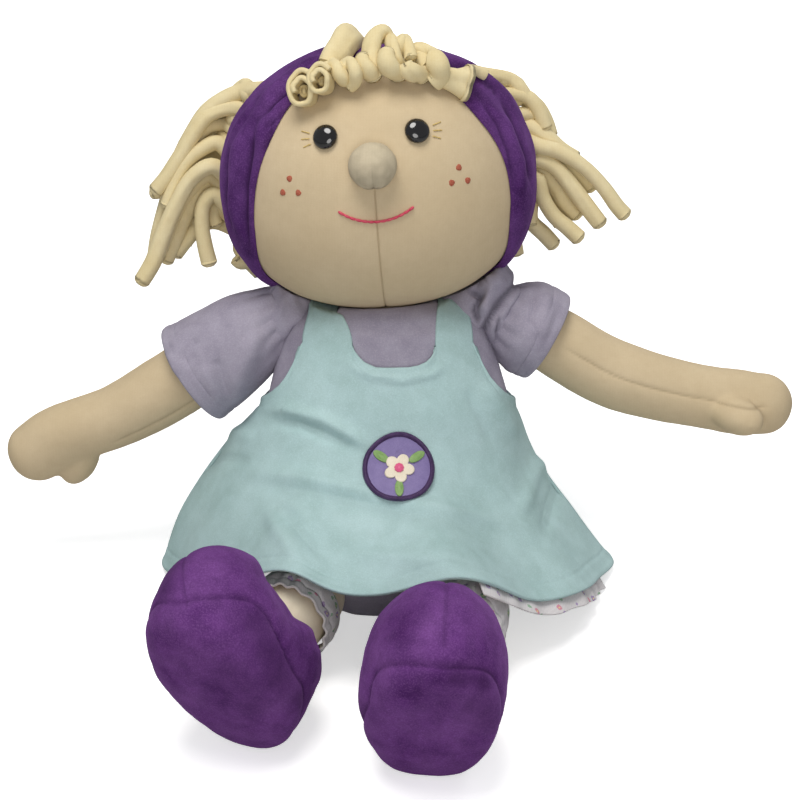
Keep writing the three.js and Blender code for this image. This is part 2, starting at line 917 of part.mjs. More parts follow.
function thumb(route, thumbTurn, inset, sides) {
  const { centre, along, side, front } = route.at(thumbAlong);
  const off = side
    .clone()
    .multiplyScalar(Math.cos(thumbTurn))
    .addScaledVector(front, Math.sin(thumbTurn));
  const lengthwise = along
    .clone()
    .multiplyScalar(Math.cos(thumbSplay))
    .addScaledVector(off, Math.sin(thumbSplay));
  const flatwise = new THREE.Vector3().crossVectors(along, off);
  const crosswise = new THREE.Vector3().crossVectors(flatwise, lengthwise);
  const lobe = new THREE.SphereGeometry(1, sides, sides / 2);
  lobe.scale(thumbLength - inset, thumbHalfWidth - inset, thumbHalfDepth - inset);
  const frame = new THREE.Matrix4().makeBasis(lengthwise, crosswise, flatwise);
  frame.setPosition(centre.addScaledVector(off, thumbOff));
  return lobe.applyMatrix4(frame);
}

function armSolid(route, thumbTurn, inset, start, sides) {
  const stations = insetStations(armStations(route), inset);
  stations[0] = [start, stations[0][1], stations[0][2]];
  return join(solidLimb(route, stations, sides), thumb(route, thumbTurn, inset, sides));
}

function armSkin(route, thumbTurn) {
  const rim = armStations(route)[0][0];
  const outside = armSolid(route, thumbTurn, 0, rim, armSides);
  return cut(outside, armSolid(route, thumbTurn, clothThickness, rim - seamGap, armSides));
}

function armStuffing(route, thumbTurn) {
  const inset = clothThickness + stuffingGap;
  const start = gatherRadius + seamGap;
  return armSolid(route, thumbTurn, inset, start, armSides / 2);
}

function gather(side) {
  const ball = new THREE.SphereGeometry(gatherRadius, armSides, armSides / 2);
  return ball.translate(...shoulder(side).toArray());
}

// Sleeves, as shares of their length and of their hem's radius past the shoulder gather
const sleeveShares = {
  right: [
    [0.07, 0.15],
    [0.11, 0.39],
    [0.24, 0.58],
    [0.42, 0.72],
    [0.72, 0.84],
    [1, 1],
  ],
  left: [
    [0, 0.2],
    [0.22, 0.6],
    [0.45, 0.98],
    [0.65, 1.1],
    [0.82, 0.86],
    [1, 1],
  ],
};

const sleeveLengths = { right: rightSleeveLength, left: leftSleeveLength };
const sleeveHems = { right: rightSleeveHem, left: leftSleeveHem };

function sleeve(route, name) {
  const hem = sleeveHems[name] - gatherRadius;
  const stations = sleeveShares[name].map(([along, width]) => {
    const radius = gatherRadius + hem * width;
    return [along * sleeveLengths[name], radius, radius];
  });
  return clothTube(route, stations, sleeveSides, sleeveThickness);
}

// Legs
function hip(side) {
  return overTorso(hipHeightShare * torsoLength, side * hipTurn, legRadius + seamGap);
}

const shoePlaces = {
  right: {
    centre: new THREE.Vector3(rightShoeAcross, -rightShoeForward, rightShoeHeight),
    yaw: degToRad(-25),
    roll: degToRad(-14),
  },
  left: {
    centre: new THREE.Vector3(leftShoeAcross, -leftShoeForward, leftShoeHeight),
    yaw: degToRad(-3),
    roll: degToRad(5),
  },
};

function legRoute(name, side) {
  const up = new THREE.Vector3(0, 0, 1);
  const { centre } = shoePlaces[name];
  const ankle = new THREE.Vector3(centre.x, centre.y, legRadius + hemClearance + clothThickness);
  ankle.z += shoeUpperDepth / 4;
  return new Route([hip(side), ankle], up);
}

function legStations(route) {
  const hipEnd = roundEnd(legRadius, legRadius, legRadius)
    .map(([distance, halfWidth, halfDepth]) => [-distance, halfWidth, halfDepth])
    .toReversed();
  return [
    ...hipEnd,
    [0, legRadius, legRadius],
    [route.length / 2, legRadius - clothThickness, legRadius - clothThickness],
    [route.length, legRadius - clothThickness, legRadius - clothThickness],
  ];
}

function legSolid(route, inset, reach, sides) {
  const stations = insetStations(legStations(route), inset);
  stations.at(-1)[0] += reach;
  return solidLimb(route, stations, sides);
}

function legSkin(name, route) {
  const outside = legSolid(route, 0, 0, legSides);
  const inside = legSolid(route, clothThickness, cutOverrun, legSides);
  return cut(outside, inside, shoeEgg(name, -seamGap, shoeSides));
}

function legStuffing(name, route) {
  const inside = legSolid(route, clothThickness + stuffingGap, 0, legSides / 2);
  return cut(inside, shoeEgg(name, -seamGap, shoeSides));
}

// Bloomer legs, as shares of their length and of their cuff's radius
const bloomerShares = [
  [0, 0.925],
  [0.4, 0.955],
  [0.75, 0.965],
  [1, 1],
];

const bloomerLengths = { right: rightBloomerLength, left: leftBloomerLength };

function bloomerLeg(route, name) {
  const stations = bloomerShares.map(([along, width]) => {
    const radius = bloomerCuff * width;
    return [bloomerTop + along * bloomerLengths[name], radius, radius];
  });
  return clothTube(route, stations, bloomerSides, bloomerThickness);
}

// Shoes
// A padded egg whose toe is at +Z and whose sole faces -Y before it is turned
function shoeTurn(name) {
  const { yaw, roll } = shoePlaces[name];
  const byYaw = new THREE.Quaternion().setFromAxisAngle(new THREE.Vector3(0, 0, 1), yaw);
  const byRoll = new THREE.Quaternion().setFromAxisAngle(new THREE.Vector3(0, 1, 0), roll);
  const byTilt = new THREE.Quaternion().setFromAxisAngle(new THREE.Vector3(1, 0, 0), shoeTilt);
  return byYaw.multiply(byRoll).multiply(byTilt);
}

function shoeEgg(name, inset, sides) {
  const { centre } = shoePlaces[name];
  const turn = shoeTurn(name);
  const pointAt = (polar, round) => {
    const direction = new THREE.Vector3(
      Math.sin(polar) * Math.sin(round),
      -Math.sin(polar) * Math.cos(round),
      Math.cos(polar),
    );
    const under = direction.y < 0;
    const power = under ? shoeSolePower : shoeUpperPower;
    const depth = under ? shoeSoleDepth : shoeUpperDepth;
    const outline = Math.hypot(direction.x / shoeHalfWidth, direction.z / shoeHalfLength);
    const radius = (outline ** power + Math.abs(direction.y / depth) ** power) ** (-1 / power);
    const point = direction.multiplyScalar(radius - inset).applyQuaternion(turn).add(centre);
    point.z = Math.max(point.z, inset);
    return point;
  };
  const rings = [[pointAt(0, 0)]];
  for (let i = 1; i < shoeBands; i++) {
    const polar = (Math.PI * i) / shoeBands;
    rings.push(
      Array.from({ length: sides }, (_, k) => pointAt(polar, (2 * Math.PI * k) / sides)),
    );
  }
  rings.push([pointAt(Math.PI, 0)]);
  return solidOfRings(rings);
}

// Everything on the sole's side of the sole seam
function soleSide(name, shift) {
  const reach = 2 * shoeHalfLength + cutOverrun;
  const block = new THREE.BoxGeometry(reach, reach, reach);
  block.translate(0, -shoeSeamFromCentre - shift - reach / 2, 0);
  block.applyQuaternion(shoeTurn(name));
  return block.translate(...shoePlaces[name].centre.toArray());
}

function shoeUpper(name) {
  const inner = shoeEgg(name, clothThickness, shoeSides);
  return cut(shoeEgg(name, 0, shoeSides), soleSide(name, 0), inner);
}

function shoeSole(name) {
  const outer = common(shoeEgg(name, 0, shoeSides), soleSide(name, seamGap));
  return cut(outer, shoeEgg(name, clothThickness, shoeSides));
}

function shoeStuffing(name) {
  return shoeEgg(name, clothThickness + stuffingGap, shoeSides / 2);
}

// Pinafore
const waistHeight = waistShare * torsoLength;
const strapHeight = strapRootShare * torsoLength;

// Top edge of the panels: [turn in degrees, share of the torso's length]
const necklineShares = [
  [0, 0.834],
  [15, 0.84],
  [22.5, 0.862],
  [30, strapRootShare],
  [52.5, strapRootShare],
  [60, 0.82],
  [67.5, 0.765],
  [75, 0.73],
  [90, 0.7],
  [105, 0.71],
  [120, 0.78],
  [127.5, strapRootShare],
  [150, strapRootShare],
  [157.5, 0.85],
  [180, 0.82],
];

function topEdge(turn) {
  const degrees = THREE.MathUtils.radToDeg(Math.abs(turn));
  const folded = Math.min(degrees, 360 - degrees);
  const after = Math.max(necklineShares.findIndex(([at]) => at >= folded), 1);
  const [turn0, share0] = necklineShares[after - 1];
  const [turn1, share1] = necklineShares[after];
  const between = clamp((folded - turn0) / (turn1 - turn0), 0, 1);
  return torsoLength * lerp(share0, share1, between);
}

function hemPoint(turn) {
  const across = Math.sin(turn);
  const forward = Math.cos(turn);
  const x = skirtHalfWidth * across;
  const inFront = Math.max(forward, 0);
  const y =
    skirtMiddle - skirtFrontReach * inFront ** 1.3 - skirtBackReach * Math.min(forward, 0);
  const overKnee = (name) => {
    const off = (x - knees[name]) / kneeHalfWidth;
    return kneeRise * Math.exp(-off * off) * inFront;
  };
  const lap = forward > 0 ? lapRise * (1 - Math.abs(across) ** 2.4) : 0;
  return new THREE.Vector3(x, y, hemClearance + lap + overKnee("right") + overKnee("left"));
}

const knees = {
  right: legRoute("right", -1).at(kneeAlong).centre.x,
  left: legRoute("left", 1).at(kneeAlong).centre.x,
};

// The inside of the skirt, from the waist to the hem
function skirtCurve(turn) {
  const waist = overTorso(waistHeight, turn, pinaforeGap);
  const hem = hemPoint(turn);
  const forward = Math.max(Math.cos(turn), 0);
  const aside = 1 - forward;
  const third = hem.clone().sub(waist).divideScalar(3);
  const outward = new THREE.Vector3(Math.sin(turn), -Math.cos(turn), 0);
  const alongBody = waist
    .clone()
    .addScaledVector(spine, -skirtFallAlongBody * forward)
    .addScaledVector(third, aside)
    .addScaledVector(outward, skirtBulge * aside);
  const flare = hem
    .clone()
    .add(new THREE.Vector3(0, skirtFlareReach * forward, (skirtFlareReach / 5) * forward))
    .addScaledVector(third, -aside)
    .addScaledVector(outward, skirtBulge * aside);
  return new THREE.CubicBezierCurve3(waist, alongBody, flare, hem);
}

// A point of the skirt's inside, swung a little to the doll's right on its way down
function skirtPoint(curve, share) {
  const point = curve.getPointAt(clamp(share, 0, 1));
  point.x -= skirtSwing * Math.sin(Math.PI * share);
  return point;
}

function dressColumn(turn, bodiceSteps, skirtSteps) {
  const top = topEdge(turn);
  const column = [];
  for (let i = 0; i < bodiceSteps; i++) {
    column.push(overTorso(lerp(top, waistHeight, i / bodiceSteps), turn, pinaforeGap));
  }
  const curve = skirtCurve(turn);
  const outward = new THREE.Vector3(Math.sin(turn), -Math.cos(turn), 0);
  const flute = (foldDepth * (1 - Math.cos(foldCount * turn))) / 2;
  for (let i = 0; i <= skirtSteps; i++) {
    const share = i / skirtSteps;
    column.push(skirtPoint(curve, share).addScaledVector(outward, flute * share * share));
  }
  return column;
}

function dressPanel(from, to, columnTurn) {
  const columns = Math.round((to - from) / columnTurn);
  const inset = seamGap / 2 / torsoHalfWidth;
  const columnGrid = Array.from({ length: columns + 1 }, (_, j) => {
    const turn = lerp(from + inset, to - inset, j / columns);
    return dressColumn(turn, bodiceRows, skirtRows);
  });
  const inner = columnGrid[0].map((_, i) => columnGrid.map((column) => column[i]));
  return solidOfPanel(liftGrid(inner, pinaforeThickness), inner);
}

// A point over the skirt's outside, for what is sewn on it
function overSkirt(turn, fall, lift) {
  const at = (t, f) => {
    const curve = skirtCurve(t);
    return skirtPoint(curve, f / curve.getLength());
  };
  const step = torsoHalfWidth / 200;
  const point = at(turn, fall);
  const down = at(turn, fall + step).sub(at(turn, fall - step));
  const slight = frontColumnTurn / 10;
  const across = at(turn + slight, fall).sub(at(turn - slight, fall));
  const normal = down.clone().cross(across).normalize();
  const turnPerLength = (2 * slight) / across.length();
  return { point: point.addScaledVector(normal, pinaforeThickness + lift), normal, turnPerLength };
}

// How far the torso reaches from its middle at the strap's root, in the section at x
function torsoReach(x, around) {
  let inside = 0;
  let outside = torsoHalfDepth;
  const halvings = 20;
  for (let i = 0; i < halvings; i++) {
    const reach = (inside + outside) / 2;
    const height = strapHeight + reach * Math.sin(around);
    const [halfWidth, halfDepth] = torsoHalvesAt(Math.min(height, torsoLength));
    const off = Math.hypot(x / halfWidth, (reach * Math.cos(around)) / halfDepth);
    if (off < 1 && height < torsoLength) {
      inside = reach;
    } else {
      outside = reach;
    }
  }
  return outside;
}

function strap(side) {
  const columns = [strapInnerTurn, (strapInnerTurn + strapOuterTurn) / 2, strapOuterTurn];
  const [halfWidth] = torsoHalvesAt(strapHeight);
  const grid = Array.from({ length: strapSteps + 1 }, (_, i) => {
    const around = (Math.PI * i) / strapSteps;
    return columns.map((turn) => {
      const x = halfWidth * Math.sin(turn);
      const reach = torsoReach(x, around) + strapLift;
      const { centre, front } = torsoRoute.at(strapHeight + strapRootGap + reach * Math.sin(around));
      return centre
        .add(new THREE.Vector3(side * x, 0, 0))
        .addScaledVector(front, reach * Math.cos(around));
    });
  });
  const rows = side > 0 ? grid.toReversed() : grid;
  return solidOfPanel(liftGrid(rows, strapThickness), rows);
}

// The printed lining that shows under the hem at the doll's left
function hemLining() {
  const from = liningFirstColumn * frontColumnTurn;
  const to = from + liningColumns * frontColumnTurn;
  const columns = liningSteps;
  const drops = [-liningOverlap, 0, liningDrop];
  const columnGrid = Array.from({ length: columns + 1 }, (_, j) => {
    const turn = lerp(from, to, j / columns);
    const hem = dressColumn(turn, 0, skirtRows).at(-1);
    const above = dressColumn(turn, 0, skirtRows).at(-2);
    const down = hem.clone().sub(above).normalize();
    return drops.map((drop) => hem.clone().addScaledVector(down, drop));
  });
  const edge = drops.map((_, i) => columnGrid.map((column) => column[i]));
  const outer = liftGrid(edge, -seamGap - trimLift);
  const inner = liftGrid(edge, -seamGap - trimLift - liningThickness);
  return solidOfPanel(outer, inner);
}

// Badge
const badgeCentre = overSkirt(badgeTurn, badgeFall, 0);

function overBadge(radius, angle, lift) {
  const turn = badgeTurn + radius * Math.cos(angle) * badgeCentre.turnPerLength;
  const fall = badgeFall - radius * Math.sin(angle);
  return overSkirt(turn, fall, lift).point;
}

function badgeRing(outlineAt, lift, share) {
  return Array.from({ length: badgeSectors }, (_, k) => {
    const angle = (2 * Math.PI * k) / badgeSectors;
    return overBadge(outlineAt(angle) * share, angle, lift);
  });
}

function badgeDisc(outlineAt, lift, thickness) {
  const shares = [0.5, 1];
  const low = shares.map((share) => badgeRing(outlineAt, lift, share));
  const high = shares.map((share) => badgeRing(outlineAt, lift + thickness, share));
  const bottom = [overBadge(0, 0, lift)];
  const top = [overBadge(0, 0, lift + thickness)];
  return solidOfRings([bottom, ...low, ...high.toReversed(), top]);
}

function badgeGround() {
  return badgeDisc(() => badgeRadius - badgeBorderWidth - seamGap, badgeLift, badgeThickness);
}

function badgeBorder() {
  const inside = () => badgeRadius - badgeBorderWidth;
  const outside = () => badgeRadius;
  const high = badgeLift + 2 * badgeThickness;
  return solidOfRings([
    badgeRing(inside, badgeLift, 1),
    badgeRing(outside, badgeLift, 1),
    badgeRing(outside, high, 1),
    badgeRing(inside, high, 1),
  ]);
}

function badgeBlossom() {
  const petal = (angle) =>
    blossomRadius * (1 - (1 + Math.cos(blossomPetals * angle + Math.PI)) / 6);
  return badgeDisc(petal, badgeLift + badgeThickness + seamGap, blossomThickness);
}

// Assembly
const doll = new THREE.Group();

function add(parent, name, geometry, color, roughness = 0.95) {
  const material = new THREE.MeshStandardMaterial({ color, roughness, metalness: 0 });
  const mesh = new THREE.Mesh(geometry, material);
  mesh.name = name;
  parent.add(mesh);
}

add(doll, "torso_skin", torsoSkin(), lilac);
add(doll, "torso_stuffing", torsoStuffing(), fill);

const neckGroup = new THREE.Group();
neckGroup.position.copy(neckPivot);
neckGroup.rotation.set(headLean, headRoll, 0, "YXZ");
doll.add(neckGroup);
add(neckGroup, "neck", neck(), cream);

const head = new THREE.Group();
head.position.set(0, 0, headRise);
neckGroup.add(head);
add(head, "head_skin", headSkin(), cream);
add(head, "head_stuffing", headStuffing(), fill);
add(head, "right_eye", eye(-eyeAcross), black, 0.15);
add(head, "left_eye", eye(eyeAcross), black, 0.15);
add(head, "right_eye_washer", eyeWasher(-eyeAcross), plastic, 0.5);
add(head, "left_eye_washer", eyeWasher(eyeAcross), plastic, 0.5);
add(head, "nose", nose(), cream);
add(head, "mouth_stitching", smile(), rose);
for (let i = 0; i < 3; i++) {
  add(head, `right_freckle_${i + 1}`, freckle(-1, i), freckleBrown);
  add(head, `left_freckle_${i + 1}`, freckle(1, i), freckleBrown);
}
add(head, "headscarf", headscarf(), purple);
for (let i = 0; i < curlCount; i++) {
  add(head, `fringe_curl_${i + 1}`, fringeCurl(i), yellow);
}
add(head, "hair_right", hairSide(-1, rightTailShares), yellow);
add(head, "hair_left", hairSide(1, leftTailShares), yellow);

for (const [name, side, thumbTurn] of [
  ["right", -1, Math.PI],
  ["left", 1, Math.PI / 2],
]) {
  const arm = armRoute(name, side);
  add(doll, `${name}_arm_gather`, gather(side), cream);
  add(doll, `${name}_arm_skin`, armSkin(arm, thumbTurn), cream);
  add(doll, `${name}_arm_stuffing`, armStuffing(arm, thumbTurn), fill);
  add(doll, `${name}_sleeve`, sleeve(arm, name), lilac);
  const leg = legRoute(name, side);
  add(doll, `${name}_leg_skin`, legSkin(name, leg), cream);
  add(doll, `${name}_leg_stuffing`, legStuffing(name, leg), fill);
  add(doll, `${name}_bloomer_leg`, bloomerLeg(leg, name), white);
  add(doll, `${name}_shoe_upper`, shoeUpper(name), purple);
  add(doll, `${name}_shoe_sole`, shoeSole(name), purple);
  add(doll, `${name}_shoe_stuffing`, shoeStuffing(name), fill);
}

add(doll, "pinafore_front", dressPanel(-Math.PI / 2, Math.PI / 2, frontColumnTurn), mint);
add(doll, "pinafore_back", dressPanel(Math.PI / 2, (3 * Math.PI) / 2, backColumnTurn), mint);
add(doll, "right_strap", strap(-1), mint);
add(doll, "left_strap", strap(1), mint);
add(doll, "hem_lining", hemLining(), white);
add(doll, "badge_ground", badgeGround(), violet);
add(doll, "badge_border", badgeBorder(), purple);
add(doll, "badge_blossom", badgeBlossom(), cream);

export default doll;
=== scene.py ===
"""Looks of a seated rag doll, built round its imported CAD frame.

Points are made in millimetres in the frame's axes: the doll faces -Y, +Z is up and the
doll's left is at +X. Meshes are scaled to metres as they are made.
"""

import math

import bpy
import numpy as np
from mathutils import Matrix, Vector, noise


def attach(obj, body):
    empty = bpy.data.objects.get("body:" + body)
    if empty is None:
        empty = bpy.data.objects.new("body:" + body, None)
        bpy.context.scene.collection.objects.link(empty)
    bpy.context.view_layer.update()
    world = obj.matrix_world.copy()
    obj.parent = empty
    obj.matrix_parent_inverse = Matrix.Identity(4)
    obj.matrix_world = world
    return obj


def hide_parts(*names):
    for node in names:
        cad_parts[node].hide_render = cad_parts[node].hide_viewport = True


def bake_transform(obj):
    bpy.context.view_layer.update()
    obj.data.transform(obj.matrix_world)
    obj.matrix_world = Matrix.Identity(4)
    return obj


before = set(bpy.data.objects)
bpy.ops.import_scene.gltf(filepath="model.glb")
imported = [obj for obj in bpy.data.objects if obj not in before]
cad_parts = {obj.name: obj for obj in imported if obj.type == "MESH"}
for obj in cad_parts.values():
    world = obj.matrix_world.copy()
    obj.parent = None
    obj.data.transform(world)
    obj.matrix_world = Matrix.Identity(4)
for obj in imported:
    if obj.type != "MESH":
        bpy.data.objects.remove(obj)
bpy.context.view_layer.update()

MM = 0.001
TINY = 1e-12


# ---------------------------------------------------------------- numbers and vectors
def unit(v):
    return v / np.maximum(np.linalg.norm(v, axis=-1, keepdims=True), TINY)


def lerp(a, b, t):
    return a + (b - a) * t


def ease(t):
    t = np.clip(t, 0, 1)
    return t * t * (3 - 2 * t)


def bell(x, width):
    return np.exp(-((x / width) ** 2))


def ridges(x, rows):
    """The height at x of some bells: (height, place, width) for each."""
    return sum(height * bell(x - place, width) for height, place, width in rows)


def dot(a, b):
    return (a * b).sum(-1)


def table(x, rows, column):
    rows = np.array(rows, float)
    return np.interp(x, rows[:, 0], rows[:, column])


def smooth_table(x, rows, column):
    """Monotone cubic through the rows, with no corners."""
    rows = np.array(rows, float)
    t, y = rows[:, 0], rows[:, column]
    step = np.diff(y) / np.diff(t)
    slope = np.zeros(len(t))
    slope[1:-1] = np.where(step[:-1] * step[1:] > 0, (step[:-1] + step[1:]) / 2, 0)
    limit = 2.5 * np.minimum(np.abs(step[:-1]), np.abs(step[1:]))
    slope[1:-1] = np.clip(slope[1:-1], -limit, limit)
    slope[0], slope[-1] = step[0], step[-1]
    x = np.clip(x, t[0], t[-1])
    k = np.clip(np.searchsorted(t, x) - 1, 0, len(t) - 2)
    h = t[k + 1] - t[k]
    s = (x - t[k]) / h
    a, b = (1 + 2 * s) * (1 - s) ** 2, s * (1 - s) ** 2
    c, d = s * s * (3 - 2 * s), s * s * (s - 1)
    return a * y[k] + b * h * slope[k] + c * y[k + 1] + d * h * slope[k + 1]


def lumps(points, size, seed=0.0):
    """Smooth noise from -1 to 1 whose lumps are about size millimetres."""
    flat = np.asarray(points).reshape(-1, 3)
    values = [noise.noise(Vector(p / size + seed)) for p in flat]
    return np.array(values).reshape(np.asarray(points).shape[:-1])


def full_turn(count):
    return np.linspace(0, 2 * np.pi, count, endpoint=False)


def crossed(rows, columns):
    return np.meshgrid(rows, columns, indexing="ij")


def rotation(axis, angle):
    axis = unit(np.array(axis, float))
    c, s = math.cos(angle), math.sin(angle)
    x, y, z = axis
    cross = np.array([[0, -z, y], [z, 0, -x], [-y, x, 0]])
    return c * np.eye(3) + s * cross + (1 - c) * np.outer(axis, axis)


SPLINE_STEPS, LEAST_GAP = 40, 1e-4


def catmull(points, count):
    """Evenly spaced points on a centripetal spline through the points."""
    p = np.array(points, float)
    p = np.vstack([2 * p[0] - p[1], p, 2 * p[-1] - p[-2]])
    dense = []
    for i in range(1, len(p) - 2):
        a, b, c, d = p[i - 1 : i + 3]
        g0, g1, g2 = (max(np.linalg.norm(v) ** 0.5, LEAST_GAP) for v in (b - a, c - b, d - c))
        m1 = ((b - a) / g0 - (c - a) / (g0 + g1) + (c - b) / g1) * g1
        m2 = ((c - b) / g1 - (d - b) / (g1 + g2) + (d - c) / g2) * g1
        t = np.linspace(0, 1, SPLINE_STEPS, endpoint=False)[:, None]
        h = (2 * t**3 - 3 * t**2 + 1) * b + (t**3 - 2 * t**2 + t) * m1
        dense.append(h + (3 * t**2 - 2 * t**3) * c + (t**3 - t**2) * m2)
    dense = np.vstack([*dense, p[-2][None]])
    return spaced(dense, count)


def run_along(line):
    """Distance along a polyline of each of its points."""
    return np.r_[0, np.cumsum(np.linalg.norm(np.diff(line, axis=0), axis=1))]


def at_run(values, run, at):
    """The rows of values, which belong to places along a line, at other places."""
    return np.stack([np.interp(at, run, column) for column in values.T], -1)


def spaced(line, count):
    """Evenly spaced points on a polyline."""
    run = run_along(line)
    return at_run(line, run, np.linspace(0, run[-1], count))


def carried(path, first):
    """Tangent, side and front at each point of a path, turning as little as possible."""
    along = unit(np.gradient(path, axis=0))
    front = [unit(first - dot(first, along[0]) * along[0])]
    for k in range(1, len(path)):
        front.append(unit(front[-1] - dot(front[-1], along[k]) * along[k]))
    front = np.array(front)
    return along, unit(np.cross(along, front)), front


def part_turn(angle):
    """An angle brought to between half a turn back and half a turn on."""
    return (angle + np.pi) % (2 * np.pi) - np.pi


def softened(grid, steps):
    """The grid with its sharp changes rounded off down each column."""
    out = grid.copy()
    for _ in range(steps):
        out[1:-1] = out[1:-1] + 0.25 * (out[2:] + out[:-2] - 2 * out[1:-1])
    return out


# ---------------------------------------------------------------- meshes
def grid_faces(rows, columns, close_rows=False, close_columns=False, start=0):
    i, j = (k.ravel() for k in crossed(np.arange(rows if close_rows else rows - 1),
                                       np.arange(columns if close_columns else columns - 1)))
    down, right = (i + 1) % rows, (j + 1) % columns
    quads = [i * columns + j, i * columns + right, down * columns + right, down * columns + j]
    return (np.stack(quads, 1) + start).tolist()


def stood(name, data):
    """An object of the scene made from a mesh, a lamp or a camera."""
    obj = bpy.data.objects.new(name, data)
    bpy.context.scene.collection.objects.link(obj)
    return obj


def make(name, points, faces, material, body=None, marks=None):
    """marks is a number for each point, which the material reads to darken seams and to paint shade
    into folds, under the nose and on the shoes.
    """
    mesh = bpy.data.meshes.new(name)
    mesh.from_pydata((np.asarray(points, float).reshape(-1, 3) * MM).tolist(), [], faces)
    mesh.update()
    if signed_volume(mesh) < 0:
        mesh.flip_normals()
    mesh.polygons.foreach_set("use_smooth", [True] * len(mesh.polygons))
    mesh.materials.append(material)
    if marks is not None:
        values = np.zeros(len(mesh.vertices), np.float32)
        flat = np.asarray(marks, np.float32).ravel()[: len(values)]
        values[: len(flat)] = flat
        mesh.attributes.new("marks", "FLOAT", "POINT").data.foreach_set("value", values)
    obj = stood(name, mesh)
    if body:
        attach(obj, body)
    return obj


def part(name, points, faces, material, body, slot, nodes, fill=None, marks=None):
    """A piece that takes over some nodes of the frame, which are hidden."""
    piece = make(name, points, faces, material, body, marks)
    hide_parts(*nodes)
    return piece


def marked(name, shape, material, body, slot, nodes, fill):
    """A part from a shape that comes with marks."""
    points, faces, marks = shape
    return part(name, points, faces, material, body, slot, nodes, fill, marks)


def crisp(obj, keys):
    """Keeps the shading on both sides of the edges between some points apart."""
    edges = np.zeros(len(obj.data.edges) * 2, int)
    obj.data.edges.foreach_get("vertices", edges)
    inside = np.isin(edges.reshape(-1, 2), keys).all(1)
    sharp = obj.data.attributes.new("sharp_edge", "BOOLEAN", "EDGE")
    sharp.data.foreach_set("value", inside)


def vertex_places(mesh):
    co = np.zeros(len(mesh.vertices) * 3)
    mesh.vertices.foreach_get("co", co)
    return co.reshape(-1, 3)


def signed_volume(mesh):
    co = vertex_places(mesh)
    mesh.calc_loop_triangles()
    tri = np.zeros(len(mesh.loop_triangles) * 3, int)
    mesh.loop_triangles.foreach_get("vertices", tri)
    a, b, c = (co[tri.reshape(-1, 3)[:, k]] for k in range(3))
    return float((a * np.cross(b, c)).sum())


def tube_parts(rings):
    """Points and faces of a run of closed rings, with a fan at each end."""
    rings = np.asarray(rings, float)
    count, sides = rings.shape[:2]
    faces = grid_faces(count, sides, close_columns=True)
    a, last = count * sides, (count - 1) * sides
    for k in range(sides):
        n = (k + 1) % sides
        faces += [[n, k, a], [last + k, last + n, a + 1]]
    return np.vstack([rings.reshape(-1, 3), rings[0].mean(0), rings[-1].mean(0)]), faces


def merged(parts):
    """One mesh from several (points, faces), whose faces count from zero."""
    points, faces, start = [], [], 0
    for p, f in parts:
        points.append(np.asarray(p, float).reshape(-1, 3))
        faces += [[v + start for v in face] for face in f]
        start += len(points[-1])
    return np.vstack(points), faces


def tube(path, radius, sides, first, shape=None):
    """A rod along a path, with soft ends. shape gives, for each angle, the share of the radius."""
    along, side, front = carried(path, np.asarray(first, float))
    radius = np.broadcast_to(np.asarray(radius, float), (len(path),)).copy()
    turn = full_turn(sides)
    share = np.ones((len(path), sides)) if shape is None else shape(turn, len(path))
    spokes = np.sin(turn)[None, :, None] * side[:, None]
    spokes = spokes + np.cos(turn)[None, :, None] * front[:, None]
    rings = path[:, None] + spokes * (radius[:, None] * share)[..., None]
    return tube_parts(np.concatenate([
        rounded(path[0], -along[0], spokes[0], radius[0] * share[0])[::-1],
        rings[1:-1],
        rounded(path[-1], along[-1], spokes[-1], radius[-1] * share[-1]),
    ]))


END_TURNS = np.radians([0, 22, 44, 66, 84])
END_SOFT, END_CROWN = 0.55, 0.05


def rounded(centre, out, spokes, radius):
    """Rings that turn a rod's end over a soft edge, nearly flat in the middle."""
    soft = END_SOFT * radius.mean()
    rings = []
    for a in END_TURNS:
        inner = radius - soft * (1 - math.cos(a))
        rings.append(centre + out * soft * (math.sin(a) - 1) + spokes * inner[:, None])
    rings.append(centre + out * soft * END_CROWN + spokes * (END_SOFT * radius)[:, None])
    return np.array(rings)


def shell(outer, thickness, close_columns=False):
    """A sheet with two sides from a grid of its outside. thickness is measured inwards."""
    rows, columns = outer.shape[:2]
    normal = grid_normals(outer, close_columns)
    inner = outer - normal * thickness
    points = np.vstack([outer.reshape(-1, 3), inner.reshape(-1, 3)])
    under = rows * columns
    faces = grid_faces(rows, columns, close_columns=close_columns)
    inside = grid_faces(rows, columns, close_columns=close_columns, start=under)
    faces += [face[::-1] for face in inside]
    if close_columns:
        for i in (0, rows - 1):
            for j in range(columns):
                a, b = i * columns + j, i * columns + (j + 1) % columns
                quad = [a, b, under + b, under + a]
                faces.append(quad[::-1] if i == 0 else quad)
        return points, faces
    edge = list(range(columns - 1))
    edge += [i * columns + columns - 1 for i in range(rows - 1)]
    edge += [(rows - 1) * columns + j for j in range(columns - 1, 0, -1)]
    edge += [i * columns for i in range(rows - 1, 0, -1)]
    for k, a in enumerate(edge):
        b = edge[(k + 1) % len(edge)]
        faces.append([b, a, under + a, under + b])
    return points, faces


def grid_normals(grid, close_columns=False):
    down = np.gradient(grid, axis=0)
    if close_columns:
        across = np.roll(grid, -1, 1) - np.roll(grid, 1, 1)
    else:
        across = np.gradient(grid, axis=1)
    return unit(np.cross(down, across))


def sheet_part(name, grid, thickness, material, slot, node, marks=None):
    """A sheet of cloth sewn to the torso."""
    piece = part(name, *shell(grid, thickness), material, "torso", slot, [node], marks=marks)
    return piece


def joint_keys(grid, row, columns):
    """Numbers of the points, on both sides of a sheet, along part of one row."""
    keys = (row % len(grid)) * grid.shape[1] + np.asarray(columns)
    return np.r_[keys, keys + grid.shape[0] * grid.shape[1]]


